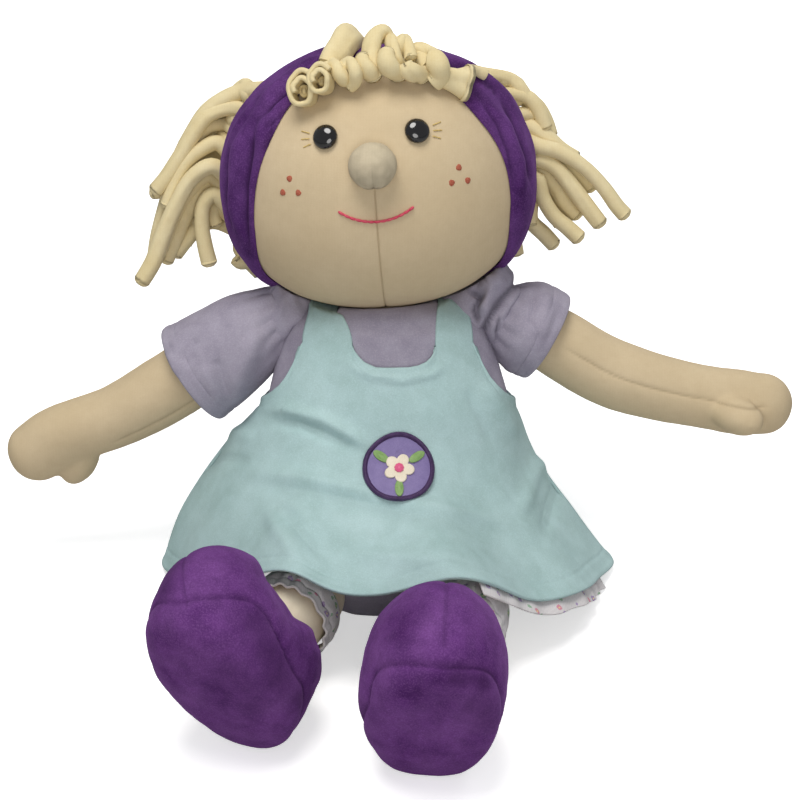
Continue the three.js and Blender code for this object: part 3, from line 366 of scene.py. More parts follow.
def facing_out(grid, centre):
    """The grid with its columns turned round if its normals face the centre."""
    middle = grid_normals(grid)[grid.shape[0] // 2, grid.shape[1] // 2]
    away = grid[grid.shape[0] // 2, grid.shape[1] // 2] - centre
    return grid if dot(middle, away) > 0 else grid[:, ::-1]


# ---------------------------------------------------------------- camera
# The view of the photograph: 27 degrees above the level, 1.1 m from the middle of the doll.
LOOK_AT = np.array([6.0, 25.0, 100.0])
LOOK_DOWN = math.radians(27)
LOOK_FROM = 1100.0
PICTURE = 800.0
FOCAL_PIXELS = 2200.0
SENSOR = 36.0
FORWARD = np.array([0, math.cos(LOOK_DOWN), -math.sin(LOOK_DOWN)])
UPWARD = np.array([0, math.sin(LOOK_DOWN), math.cos(LOOK_DOWN)])
EYE_POINT = LOOK_AT - FORWARD * LOOK_FROM


def to_picture(points):
    v = points - EYE_POINT
    depth = v @ FORWARD
    x = PICTURE / 2 + v[..., 0] * FOCAL_PIXELS / depth
    y = PICTURE / 2 - (v @ UPWARD) * FOCAL_PIXELS / depth
    return np.stack([x, y], -1)


def sight(x, y):
    right = (x - PICTURE / 2) / FOCAL_PIXELS
    up = (PICTURE / 2 - y) / FOCAL_PIXELS
    return unit(FORWARD + np.array([right, 0, 0]) + UPWARD * up)


def line_distance(points, line):
    """Distance in pixels from each picture point to a polyline, and its place along it, 0 to 1."""
    best = np.full(points.shape[:-1], np.inf)
    along = np.zeros(points.shape[:-1])
    line = np.array(line, float)
    run = run_along(line)
    for k in range(len(line) - 1):
        a, d = line[k], line[k + 1] - line[k]
        t = np.clip(((points - a) @ d) / (d @ d), 0, 1)
        off = np.linalg.norm(points - a - t[..., None] * d, axis=-1)
        nearer = off < best
        best = np.where(nearer, off, best)
        along = np.where(nearer, (run[k] + t * (run[k + 1] - run[k])) / run[-1], along)
    return best, along


# A fold fades over this share of its line at each end, and keeps this share of its height there.
FOLD_FADE, FOLD_LEFT = 0.25, 0.15
# A fold pressed in this deep gets full painted shade, over this share of its width; the painted
# shade is never darker than DARKEST.
CREASE_DEPTH, CREASE_WIDTH, DARKEST = 3.0, 0.7, 0.75


def folds(points, lines):
    """Height of folds drawn as picture lines: (height in mm, width in pixels, polyline)."""
    seen = to_picture(points)
    height = np.zeros(points.shape[:-1])
    for rise, width, line in lines:
        off, along = line_distance(seen, line)
        fade = ease(along / FOLD_FADE) * ease((1 - along) / FOLD_FADE)
        height += rise * bell(off, width) * (FOLD_LEFT + (1 - FOLD_LEFT) * fade)
    return height


def painted_crease_shade(points, lines):
    """Painted shade in the folds that are pressed in: how dark each point is, from 0 to 1."""
    pressed = [(-rise / CREASE_DEPTH, width * CREASE_WIDTH, line)
               for rise, width, line in lines if rise < 0]
    return np.clip(folds(points, pressed), 0, DARKEST)


# ---------------------------------------------------------------- the frame's own sizes
LEAN = math.radians(19.4)
SPINE = np.array([0, math.sin(LEAN), math.cos(LEAN)])
FRONT = np.array([0, -math.cos(LEAN), math.sin(LEAN)])
SIDE = np.array([1.0, 0, 0])
FOOT = np.array([0, 0, -4.0])
TORSO = 151.0
HALF_WIDTH, HALF_DEPTH = 60.0, 42.0
TORSO_SHARES = [
    [-0.07, 0.05, 0.05], [-0.04, 0.36, 0.36], [0, 0.55, 0.55], [0.06, 0.82, 0.82],
    [0.15, 0.96, 0.96], [0.3, 1, 1], [0.48, 0.97, 0.98], [0.65, 0.92, 0.95],
    [0.78, 0.87, 0.89], [0.86, 0.85, 0.86], [0.91, 0.81, 0.82], [0.95, 0.68, 0.72],
    [0.98, 0.48, 0.57], [1, 0.3, 0.43],
]
NECK_HEIGHT = 147.0
PIVOT = FOOT + SPINE * NECK_HEIGHT
BODY_MIDDLE = FOOT + SPINE * 60
SLOPE_REACH = 5.0

HEAD_RISE = 70.5
HEAD_WIDE, HEAD_DEEP = 74.0, 59.0
CROWN, CHIN = 64.0, 63.0
CROWN_POWER, CHIN_POWER = 2.05, 2.35
HEAD_TURN = rotation([0, 1, 0], math.radians(-4)) @ rotation([1, 0, 0], math.radians(-12))
HEAD_AT = PIVOT + HEAD_TURN @ np.array([0, 0, HEAD_RISE])

EYE_ACROSS, EYE_UP, EYE_RADIUS, EYE_HEIGHT = 21.5, 29.0, 6.0, 3.6
NOSE_UP, NOSE_LIFT, NOSE_RADIUS = 15.0, 4.5, 11.0
SMILE_RADIUS, SMILE_RISE, SMILE_HALF = 30.0, 19.0, math.radians(36)


# ---------------------------------------------------------------- torso surface
def torso_halves(height):
    share = np.asarray(height, float) / TORSO
    width = smooth_table(share, TORSO_SHARES, 1) * HALF_WIDTH
    return width, smooth_table(share, TORSO_SHARES, 2) * HALF_DEPTH


def over_torso(height, turn, lift):
    """Points over the torso. The turn is zero in front and grows to the doll's left."""
    height, turn = np.broadcast_arrays(np.asarray(height, float), np.asarray(turn, float))
    wide, deep = torso_halves(height)
    below, _ = torso_halves(height - SLOPE_REACH)
    above, _ = torso_halves(height + SLOPE_REACH)
    s, c = np.sin(turn)[..., None], np.cos(turn)[..., None]
    normal = unit(SIDE * s / wide[..., None] + FRONT * c / deep[..., None])
    normal = unit(normal + SPINE * ((below - above) / (2 * SLOPE_REACH))[..., None])
    centre = FOOT + SPINE * height[..., None]
    skin = centre + SIDE * s * wide[..., None] + FRONT * c * deep[..., None]
    return skin + normal * np.asarray(lift, float)[..., None]


def from_spine(points, height):
    """The way from the spine at a height to each point."""
    return points - FOOT - SPINE * height[..., None]


# ---------------------------------------------------------------- head surface
def head_radius(d):
    up = d[..., 2] > 0
    half = np.where(up, CROWN, CHIN)
    power = np.where(up, CROWN_POWER, CHIN_POWER)
    level = np.hypot(d[..., 0] / HEAD_WIDE, d[..., 1] / HEAD_DEEP)
    upright = np.abs(d[..., 2]) / half
    return (level**power + upright**power) ** (-1 / power)


def head_direction(azimuth, elevation):
    azimuth, elevation = np.broadcast_arrays(azimuth, elevation)
    flat = np.cos(elevation)
    return np.stack([flat * np.sin(azimuth), -flat * np.cos(azimuth), np.sin(elevation)], -1)


def on_head(azimuth, elevation, lift):
    """Points of the head in its own frame, whose origin is its middle and whose face is at -Y."""
    d = head_direction(np.asarray(azimuth, float), np.asarray(elevation, float))
    return d * (head_radius(d) + lift)[..., None]


def from_head(points):
    return np.asarray(points, float) @ HEAD_TURN.T + HEAD_AT


def to_head(points):
    return (np.asarray(points, float) - HEAD_AT) @ HEAD_TURN


def face_at(x, z):
    half, power = (CROWN, CROWN_POWER) if z > 0 else (CHIN, CHIN_POWER)
    level = (1 - (abs(z) / half) ** power) ** (1 / power)
    y = -HEAD_DEEP * math.sqrt(level**2 - (x / HEAD_WIDE) ** 2)
    slope = level ** (power - 2)
    up = math.copysign((abs(z) / half) ** (power - 1) / half, z)
    normal = unit(np.array([slope * x / HEAD_WIDE**2, slope * y / HEAD_DEEP**2, up]))
    return np.array([x, y, z]), normal


def on_face(points, x, z, lift):
    """Stands points made along +Z on the face, in the frame's axes."""
    at, normal = face_at(x, z)
    turn = Vector((0, 0, 1)).rotation_difference(Vector(normal)).to_matrix()
    return from_head(np.asarray(points) @ np.array(turn).T + at + normal * lift)


SEARCH, SEARCH_STEP = 200.0, 0.25


def head_at_pixel(x, y, lift):
    """The point over the head, in its own frame, that the camera sees at a pixel."""
    start, ray = to_head(EYE_POINT), sight(x, y) @ HEAD_TURN
    far = np.arange(LOOK_FROM - SEARCH, LOOK_FROM + SEARCH, SEARCH_STEP)
    line = start + ray * far[:, None]
    out = np.linalg.norm(line, axis=1)
    above = out - head_radius(line / out[:, None])
    if (above < lift).any():
        return line[np.argmax(above < lift)]
    d = unit(line[np.argmin(above)])
    return d * (head_radius(d) + lift)


def clear_of_head(points, gap):
    """The points, with those in the head pushed out of it."""
    at = to_head(points)
    reach = np.linalg.norm(at, axis=-1)[..., None]
    d = at / reach
    return from_head(d * np.maximum(reach, head_radius(d)[..., None] + gap))


def ball_directions(rows, columns):
    el, az = crossed(np.radians(np.linspace(88, -88, rows)), full_turn(columns))
    return el, az, head_direction(az, el)


# ---------------------------------------------------------------- headscarf surface
SCARF_TILT = math.radians(8)
SCARF_UP = np.array([0, -math.sin(SCARF_TILT), math.cos(SCARF_TILT)])
SCARF_BACK = np.array([0, math.cos(SCARF_TILT), math.sin(SCARF_TILT)])
SCARF_GAP, SCARF_THICK = 1.1, 3.5
# The band's middle line and half width, as angles, at the crown, beside the face and at the nape.
SCARF_MIDDLE = np.radians([-1.0, -8.0, 30.0])
SCARF_HALF = np.radians([11.0, 18.0, 9.0])
NAPE_FROM, NAPE_OVER, CROWN_OVER = np.radians([100.0, 80.0, 60.0])


def scarf_span(around):
    """The band's middle and half width at each place round the head from the crown."""
    turned = math.pi - np.abs(math.pi - np.asarray(around) % (2 * math.pi))
    to_nape = ease((turned - NAPE_FROM) / NAPE_OVER)
    from_crown = ease(turned / CROWN_OVER)
    return [lerp(lerp(crown, beside, from_crown), nape, to_nape)
            for crown, beside, nape in (SCARF_MIDDLE, SCARF_HALF)]


def scarf_direction(around, back):
    around, back = np.broadcast_arrays(np.asarray(around, float), np.asarray(back, float))
    d = SCARF_UP * (np.cos(back) * np.cos(around))[..., None] + SCARF_BACK * np.sin(back)[..., None]
    d[..., 0] += np.cos(back) * np.sin(around)
    return d


def on_scarf(around, back, lift):
    d = scarf_direction(around, back)
    return d * (head_radius(d) + lift)[..., None]


# ---------------------------------------------------------------- limbs
class Route:
    """The middle line of a limb, with two directions across it at each distance."""

    def __init__(self, points, front):
        self.line = catmull(points, 600)
        self.run = run_along(self.line)
        self.length = self.run[-1]
        self.front = np.array(front, float)
        self.slope = unit(np.gradient(self.line, axis=0))

    def at(self, distance):
        d = np.asarray(distance, float)
        inside = np.clip(d, 0, self.length)
        along = unit(at_run(self.slope, self.run, inside))
        centre = at_run(self.line, self.run, inside) + along * (d - inside)[..., None]
        side = unit(np.cross(along, np.broadcast_to(self.front, along.shape)))
        return centre, along, side, np.cross(side, along)

    def rings(self, distance, wide, deep, turn):
        centre, _, side, front = self.at(distance)
        wide = np.asarray(wide, float)[..., None, None]
        deep = np.asarray(deep, float)[..., None, None]
        spokes = side[:, None] * np.sin(turn)[..., None] * wide
        spokes = spokes + front[:, None] * np.cos(turn)[..., None] * deep
        return centre[:, None] + spokes

    def tube(self, distance, radius, turn):
        """Round rings, and the way out at each of their points."""
        rings = self.rings(distance, radius, radius, turn)
        return rings, unit(rings - self.at(distance)[0][:, None])


ARM, ARM_RADIUS, GATHER = 150.0, 17.5, 12.5
ARM_BENDS = {
    "right": [[-0.284, -0.01, -0.205], [-0.524, -0.02, -0.35], [-0.733, -0.03, -0.434],
              [-0.905, -0.04, -0.55]],
    "left": [[0.12, -0.01, -0.05], [0.39, -0.03, -0.2], [0.79, -0.05, -0.29],
             [0.985, -0.07, -0.29]],
}
SIGN = {"right": -1, "left": 1}
SHOULDER = {n: over_torso(0.915 * TORSO, s * math.pi / 2, GATHER + 0.3) for n, s in SIGN.items()}
ARM_ROUTE = {
    n: Route([SHOULDER[n]] + [SHOULDER[n] + ARM * np.array(b) for b in ARM_BENDS[n]], [0, -1, 0])
    for n in SIGN
}
THUMB_TURN = {"right": math.pi, "left": math.pi / 2}

LEG_RADIUS = 18.5
CUFF_ROOM, ANKLE_RISE = 4.6, 9.0
SHOE_AT = {"right": np.array([-68.0, -121, 50]), "left": np.array([21.0, -142, 46])}
SHOE_YAW = {"right": math.radians(-25), "left": math.radians(-3)}
SHOE_ROLL = {"right": math.radians(-14), "left": math.radians(5)}
SHOE_TILT = math.radians(23)
SHOE_TURN = {
    n: rotation([0, 0, 1], SHOE_YAW[n]) @ rotation([0, 1, 0], SHOE_ROLL[n])
    @ rotation([1, 0, 0], SHOE_TILT)
    for n in SIGN
}
HIP = {
    n: over_torso(0.135 * TORSO, s * math.radians(34), LEG_RADIUS + 0.3) for n, s in SIGN.items()
}
LEG_ROUTE = {
    n: Route([HIP[n], [*SHOE_AT[n][:2], LEG_RADIUS + CUFF_ROOM + ANKLE_RISE]], [0, 0, 1])
    for n in SIGN
}


# ---------------------------------------------------------------- materials
class Tree:
    """A node material under construction. A value that is a socket becomes a link."""

    def __init__(self, name):
        self.material = bpy.data.materials.new(name)
        self.material.use_nodes = True
        self.tree = self.material.node_tree
        self.tree.nodes.clear()
        self.out = self.add("ShaderNodeOutputMaterial", {})
        self.bsdf = self.add("ShaderNodeBsdfPrincipled", {})
        self.tree.links.new(self.bsdf.outputs[0], self.out.inputs["Surface"])
        self.place = self.add("ShaderNodeTexCoord", {}).outputs["Object"]

    def add(self, kind, values, **settings):
        node = self.tree.nodes.new(kind)
        for key, value in settings.items():
            setattr(node, key, value)
        for key, value in values.items():
            self.put(node.inputs[key], value)
        return node

    def put(self, socket, value):
        if isinstance(value, bpy.types.NodeSocket):
            self.tree.links.new(value, socket)
        else:
            socket.default_value = value

    def shade(self, **values):
        for key, value in values.items():
            self.put(self.bsdf.inputs[key.replace("_", " ")], value)

    def noise(self, size, detail=2.0, rough=0.5, distort=0.0):
        """Soft noise whose features are about size millimetres, from 0 to 1."""
        values = {"Vector": self.place, "Scale": 1 / (size * MM), "Detail": detail,
                  "Roughness": rough, "Distortion": distort}
        return self.add("ShaderNodeTexNoise", values).outputs["Fac"]

    def math(self, kind, a, b):
        return self.add("ShaderNodeMath", {0: a, 1: b}, operation=kind).outputs[0]

    def times(self, a, b):
        return self.math("MULTIPLY", a, b)

    def span(self, value, low, high, to_low=0.0, to_high=1.0):
        values = {"Value": value, "From Min": low, "From Max": high, "To Min": to_low,
                  "To Max": to_high}
        return self.add("ShaderNodeMapRange", values).outputs[0]

    def mix(self, share, a, b):
        """The mix node's sockets for colours are its inputs 6 and 7 and its output 2."""
        values = {"Factor": share, 6: a, 7: b}
        return self.add("ShaderNodeMix", values, data_type="RGBA").outputs[2]

    def cloth(self, base, bump, rough, shine, sheen=None, soft=None, tint=None):
        """The finished material of a cloth, with a sheen if it has a nap."""
        self.shade(Base_Color=base, Normal=bump, Roughness=rough, Specular_IOR_Level=shine)
        if sheen is not None:
            self.shade(Sheen_Weight=sheen, Sheen_Roughness=soft, Sheen_Tint=tint)
        return self.material

    def seams_and_painted_shade(self, base, dark):
        """The base colour, darker where the mesh has marks: along seams, and painted shade in
        folds, under the nose and on the shoes.
        """
        marks = self.add("ShaderNodeAttribute", {}, attribute_name="marks").outputs["Fac"]
        return self.mix(marks, base, dark)

    def bump(self, height, strength, distance, under=None):
        values = {"Height": height, "Strength": strength, "Distance": distance * MM}
        if under is not None:
            values["Normal"] = under
        return self.add("ShaderNodeBump", values).outputs[0]


def colour(red, green, blue):
    """Linear colour from red, green and blue of 0 to 255."""
    out = []
    for value in (red, green, blue):
        v = value / 255
        out.append(v / 12.92 if v <= 0.04045 else ((v + 0.055) / 1.055) ** 2.4)
    return (*out, 1.0)


def darker(tint, share):
    return (*(share * value for value in tint[:3]), 1.0)


PILE = 0.7


def velour(name, deep, middle, lit, sheen, nap=9.0):
    """Short cut pile: the nap lies in soft patches, and the pile itself is a fine bump."""
    t = Tree(name)
    patches = t.span(t.noise(nap, 3, 0.55, distort=0.3), 0.32, 0.68)
    wide = t.span(t.noise(nap * 3.2, 2), 0.3, 0.7)
    fine = t.noise(PILE, 2, 0.6)
    base = t.mix(t.times(patches, 0.55), deep, middle)
    base = t.mix(t.times(wide, 0.35), base, lit)
    grain = t.span(fine, 0.25, 0.75, -0.35, 0.35)
    base = t.mix(t.math("MAXIMUM", grain, 0.0), base, lit)
    base = t.mix(t.math("MAXIMUM", t.times(grain, -1.0), 0.0), base, deep)
    # Darker along seams, and painted shade in pressed-in folds and where the shoes' nap looks dark.
    base = t.seams_and_painted_shade(base, darker(deep, 0.45))
    bump = t.bump(t.noise(nap * 0.45, 2), 0.35, 0.5)
    bump = t.bump(fine, 0.45, 0.22, bump)
    return t.cloth(base, bump, 0.92, 0.12, sheen, 0.45, lit)


# The wave texture repeats this many times in one unit of its scale.
WAVES = 6.3
KNIT = 0.7


def jersey(name, deep, middle, lit, sheen=0.08):
    """Brushed knit: fine wales and courses under a little fuzz."""
    t = Tree(name)
    wide = t.span(t.noise(34, 2), 0.3, 0.7)
    small = t.span(t.noise(4.5, 3, 0.6), 0.3, 0.7)
    wave = {"Vector": t.place, "Distortion": 2.0, "Detail": 2.0, "Detail Scale": 2.0}
    wales, courses = (
        t.add("ShaderNodeTexWave", {**wave, "Scale": 1 / (KNIT * MM) / share}, wave_type="BANDS",
              bands_direction=way).outputs["Fac"] for way, share in (("X", WAVES), ("Z", 5.0)))
    loops = t.math("ADD", wales, t.times(courses, 0.7))
    fuzz = t.noise(0.6, 3, 0.65)
    base = t.mix(t.times(wide, 0.5), middle, lit)
    base = t.mix(t.times(small, 0.16), base, deep)
    base = t.mix(t.span(loops, 0.0, 1.7, 0.07, 0.0), base, deep)
    base = t.mix(t.span(fuzz, 0.3, 0.7, 0.12, 0.0), base, deep)
    # Darker along seams, and painted shade towards the underside of the nose.
    base = t.seams_and_painted_shade(base, darker(deep, 0.5))
    bump = t.bump(t.noise(6, 2), 0.2, 0.4)
    bump = t.bump(loops, 0.12, 0.06, bump)
    bump = t.bump(fuzz, 0.35, 0.14, bump)
    return t.cloth(base, bump, 0.9, 0.12, sheen, 0.5, lit)


BLOOM_STEP = 5.5


def printed(name, ground, inks, heart_ink, thread):
    """Woven cotton with small scattered blooms: a ring of petals round a dot."""
    t = Tree(name)
    spots = {"Vector": t.place, "Scale": 1 / (BLOOM_STEP * MM), "Randomness": 0.8}
    cells = t.add("ShaderNodeTexVoronoi", spots)
    ragged = t.math("ADD", cells.outputs["Distance"], t.span(t.noise(1.1, 1), 0, 1, -0.13, 0.13))
    ink = t.span(ragged, 0.27, 0.31, 1.0, 0.0)
    heart = t.span(ragged, 0.08, 0.12, 1.0, 0.0)
    hue = t.add("ShaderNodeSeparateColor", {"Color": cells.outputs["Color"]})
    ramp = t.add("ShaderNodeValToRGB", {"Fac": hue.outputs[0]})
    ramp.color_ramp.interpolation = "CONSTANT"
    stops = ramp.color_ramp.elements
    stops.new(0.5)
    for stop, place, ink_colour in zip(stops, (0, 0.34, 0.67), inks):
        stop.position, stop.color = place, ink_colour
    sparse = t.math("GREATER_THAN", hue.outputs[1], 0.3)
    weave = woven(t, 0.5)
    base = t.mix(t.times(ink, t.times(sparse, 0.8)), ground, ramp.outputs[0])
    base = t.mix(t.times(heart, sparse), base, heart_ink)
    base = t.mix(t.span(weave, 0, 1, 0.12, 0.0), base, thread)
    bump = t.bump(t.noise(7, 3), 0.3, 0.5)
    bump = t.bump(weave, 0.35, 0.09, bump)
    return t.cloth(base, bump, 0.85, 0.2)


def woven(t, pitch):
    """Over and under threads at a pitch in millimetres, from 0 to 1."""
    waves = []
    for direction in ("X", "Z"):
        values = {"Vector": t.place, "Scale": 1 / (pitch * MM) / WAVES, "Distortion": 0.6,
                  "Detail": 1.0}
        wave = t.add("ShaderNodeTexWave", values, wave_type="BANDS", bands_direction=direction)
        waves.append(wave.outputs["Fac"])
    return t.math("MAXIMUM", *waves)


def threads(name, middle, lit, pitch=0.35, rough=0.45):
    """Embroidery thread: fine lustrous strands with a little colour drift."""
    t = Tree(name)
    strands = t.noise(pitch, 2, 0.6)
    drift = t.span(t.noise(4, 2), 0.3, 0.7)
    base = t.mix(t.times(drift, 0.4), middle, lit)
    base = t.mix(t.span(strands, 0.35, 0.65, 0.3, 0.0), base, darker(middle, 0.55))
    bump = t.bump(strands, 0.5, 0.12)
    return t.cloth(base, bump, rough, 0.4, 0.3, 0.3, lit)


def gloss(name, middle, rough):
    """Moulded plastic with the faintest polish marks."""
    t = Tree(name)
    marks = t.noise(1.6, 4, 0.7)
    t.shade(Base_Color=t.mix(t.times(marks, 0.1), middle, colour(70, 62, 60)))
    t.shade(Roughness=t.span(marks, 0.3, 0.7, rough, rough + 0.07))
    t.shade(Normal=t.bump(marks, 0.06, 0.05), Coat_Weight=0.8, Coat_Roughness=0.04)
    return t.material


def printed_dye(name, middle, faint):
    """Dye printed into brushed cloth, thinner where the nap stands up."""
    t = Tree(name)
    nap = t.noise(0.5, 3, 0.6)
    base = t.mix(t.span(nap, 0.35, 0.7, 0.0, 0.6), middle, faint)
    return t.cloth(base, t.bump(nap, 0.4, 0.12), 0.85, 0.15)


def tints(*rows):
    return [colour(*row) for row in rows]


SKIN = jersey("cream_jersey", *tints((180, 156, 122), (206, 187, 153), (218, 200, 168)))
# The legs take a lighter copy of the cream jersey: painted light on legs that sit in the skirt's
# shade.
LEG = jersey("leg_jersey_painted_light", *tints((224, 202, 170), (246, 232, 206), (252, 242, 220)))
NOSE = jersey("nose_jersey", *tints((150, 137, 116), (198, 185, 158), (212, 200, 174)))
YELLOW = jersey("yellow_jersey", *tints((192, 160, 92), (224, 209, 164), (238, 228, 194)), 0.12)
SHIRT = velour("lilac_velour", *tints((142, 136, 152), (170, 164, 179), (190, 184, 198)), 0.12)
MINT = velour("mint_velour", *tints((156, 184, 182), (180, 208, 209), (200, 224, 226)), 0.14, 11)
PURPLE = velour("purple_velour", *tints((56, 24, 74), (91, 47, 114), (136, 90, 160)), 0.34, 7)
# The shoes take a lighter copy of the headscarf's purple velour: painted light.
SHOE = velour("shoe_velour_painted_light", *tints((70, 30, 90), (108, 58, 130), (148, 98, 168)), 0.38, 7)
PRINT = printed("printed_cotton", colour(216, 212, 213),
                tints((214, 122, 150), (122, 170, 130), (150, 122, 178)),
                *tints((236, 214, 140), (120, 116, 124)))
BLACK = gloss("eye_plastic", colour(9, 8, 9), 0.07)
WASHER = gloss("washer_plastic", colour(226, 222, 212), 0.35)
FRECKLE = printed_dye("freckle_dye", *tints((160, 78, 62), (196, 130, 102)))
ROSE = threads("rose_thread", *tints((206, 62, 88), (232, 110, 128)))
BORDER = threads("border_thread", *tints((62, 38, 80), (104, 76, 126)))
GROUND = threads("ground_thread", *tints((124, 110, 160), (150, 136, 184)), 0.5, 0.6)
PETAL = threads("petal_thread", *tints((232, 220, 196), (246, 238, 222)))
HEART = threads("heart_thread", *tints((226, 92, 140), (240, 150, 182)))
LEAF = threads("leaf_thread", *tints((128, 164, 96), (168, 196, 130)))
GOLD = threads("gold_thread", *tints((206, 176, 96), (230, 208, 140)))


# ---------------------------------------------------------------- torso and neck
RISE_MOST, RISE_STEP = 8.2, 0.25
RISE_FROM, RISE_OVER = 0.84, 0.12


def meeting(points, height, clear):
    """How far the shoulders rise along the spine to meet the head that rests on them."""
    rise = np.zeros(points.shape[:-1])
    for step in np.arange(0, RISE_MOST, RISE_STEP):
        at = to_head(points + SPINE * step)
        out = np.linalg.norm(at, axis=-1)
        rise = np.where(out - head_radius(at / out[..., None]) > clear, step, rise)
    return rise * ease((height / TORSO - RISE_FROM) / RISE_OVER)


# The stuffed body stands out under the arms, most at this turn and share of its height.
SWELL, SWELL_TURN, SWELL_SPREAD = 7.5, math.radians(80), 0.75
SWELL_HEIGHT, SWELL_TALL = 0.7, 26.0


def swell(points):
    h = dot(points - FOOT, SPINE)
    out = from_spine(points, h)
    turn = np.abs(np.arctan2(out[..., 0], dot(out, FRONT)))
    amount = bell(turn - SWELL_TURN, SWELL_SPREAD) * bell(h - SWELL_HEIGHT * TORSO, SWELL_TALL)
    return unit(out) * (SWELL * amount)[..., None]


# The shirt's top lies close under the head, and lower where it carries the straps.
SHIRT_GAP, STRAP_GAP = 0.8, 4.6
STRAP_NEAR, STRAP_FAR, STRAP_PRESS = 24.5, 39.0, 1.4
CREASED_FROM, PRESSED_FROM = 95.0, 128.0
SEAT_RISE = 0.2
# The turned-in rim at the neck: how far down it goes, and its share of the opening.
RIM = [(0.8, 0.93), (7.0, 0.88)]


def shirt_body():
    heights = np.r_[np.linspace(-0.06, 0.9, 60), np.linspace(0.91, 1.0, 16)] * TORSO
    turns = full_turn(150)
    h, t = crossed(heights, turns)
    points = over_torso(h, t, 0.0)
    points += grid_normals(points, True) * (0.3 * lumps(points, 26))[..., None]
    side_seam = bell((np.abs(np.sin(t)) - 1) * 60, 1.0)
    points -= unit(from_spine(points, h)) * (0.5 * side_seam)[..., None]
    points += swell(points)
    neck = folds(points, SHIRT_FOLDS) * ease((h - CREASED_FROM) / 20)
    points += unit(from_spine(points, h)) * neck[..., None]
    points[..., 2] = np.maximum(points[..., 2], SEAT_RISE)
    across = np.abs(points[..., 0])
    clear = lerp(SHIRT_GAP, STRAP_GAP, ease((across - STRAP_NEAR + 1.5) / 4))
    points += SPINE * meeting(points, h, clear)[..., None]
    pressed = ease((across - STRAP_NEAR) / 2) * ease((STRAP_FAR - across) / 2)
    pressed *= ease((h - PRESSED_FROM) / 6)
    points -= unit(from_spine(points, h - 12)) * (STRAP_PRESS * pressed)[..., None]
    centre = FOOT + SPINE * (TORSO - 4)
    rim = [centre + (points[-1] - SPINE * down - centre) * share for down, share in RIM]
    return tube_parts(np.concatenate([points, np.array(rim)]))


SHIRT_FOLDS = [
    (0.7, 3.0, [(352, 345), (400, 350), (452, 342)]),
    (-0.5, 2.5, [(350, 338), (402, 342), (450, 334)]),
    (1.0, 4.0, [(500, 350), (520, 380), (530, 420)]),
    (1.2, 5.0, [(255, 398), (280, 360), (300, 330)]),
]


NECK_BALL, NECK_RADIUS, NECK_TOP = 15.0, 12.0, 19.5


def neck_stem():
    """A ball, and above it a short waisted stem."""
    turns = full_turn(64)
    join = math.acos(NECK_RADIUS / NECK_BALL)
    rings = []
    for share in np.linspace(0, 1, 30):
        if share < 0.75:
            angle = lerp(math.radians(-80), join, share / 0.75)
            r, z = NECK_BALL * math.cos(angle), NECK_BALL * math.sin(angle)
        else:
            r = NECK_RADIUS - 0.5 * math.sin(math.pi * (share - 0.75) * 4)
            z = lerp(NECK_BALL * math.sin(join), NECK_TOP, (share - 0.75) * 4)
        r = r * (1 + 0.012 * np.sin(9 * turns))
        rings.append(np.stack([r * np.sin(turns), -r * np.cos(turns), np.full(64, z)], -1))
    return tube_parts(np.array(rings) @ HEAD_TURN.T + PIVOT)


part("shirt_body", *shirt_body(), SHIRT, "torso", "lilac_cotton",
     ["torso_skin", "torso_stuffing"], 0.8)
part("neck_stem", *neck_stem(), SKIN, "neck", "cream_jersey", ["neck"], 0.9)


# ---------------------------------------------------------------- head
EYE_DENT, EYE_DENT_WIDE = 0.9, 8.5
STITCH_DEEP, STITCH_STEP = 0.1, 2.6
# Seams are pressed in by a narrow and a wide groove: (depth, place across the seam, width).
FACE_SEAM = [(0.5, 0, 0.5), (0.3, 0, 2.6)]
NOSE_SEAM = [(0.5, 0, 0.6), (0.45, 0, 2.4)]
PUCKERS, PUCKER = 11, 0.22


def head_ball():
    """The stuffed head. A seam runs down the middle of the face, so the columns are close there."""
    fine = np.radians(np.r_[np.linspace(0, 1.6, 13), np.linspace(2, 7, 10)])
    rest = np.radians(np.linspace(9, 171, 82))
    back = np.pi - fine[::-1]
    half = np.r_[fine, rest, back]
    azimuths = np.r_[half, -half[1:-1][::-1]]
    elevations = np.radians(np.linspace(89.2, -74, 120))
    el, az = crossed(elevations, azimuths)
    points = on_head(az, el, 0.0)
    outward = unit(points)
    aside = np.abs(part_turn(az))
    arc = aside * np.cos(el) * HEAD_DEEP
    back_arc = (np.pi - aside) * np.cos(el) * HEAD_DEEP
    below_nose = ease((NOSE_UP - 6 - points[..., 2]) / 8)
    lift = -ridges(arc, FACE_SEAM) * below_nose - 0.5 * bell(back_arc, 0.8)
    stitches = STITCH_DEEP * np.cos(2 * np.pi * points[..., 2] / STITCH_STEP)
    lift -= stitches * bell(arc, 1.4) * below_nose
    lift += 0.45 * lumps(points, 34) + 0.12 * lumps(points, 9, 3.0)
    for sign in SIGN.values():
        at, _ = face_at(sign * EYE_ACROSS, EYE_UP)
        lift -= EYE_DENT * bell(np.linalg.norm(points - at, axis=-1), EYE_DENT_WIDE)
    marks = 0.45 * bell(arc, 0.32) * below_nose + 0.6 * bell(back_arc, 0.5)
    return (*tube_parts(from_head(points + outward * lift[..., None])), marks)


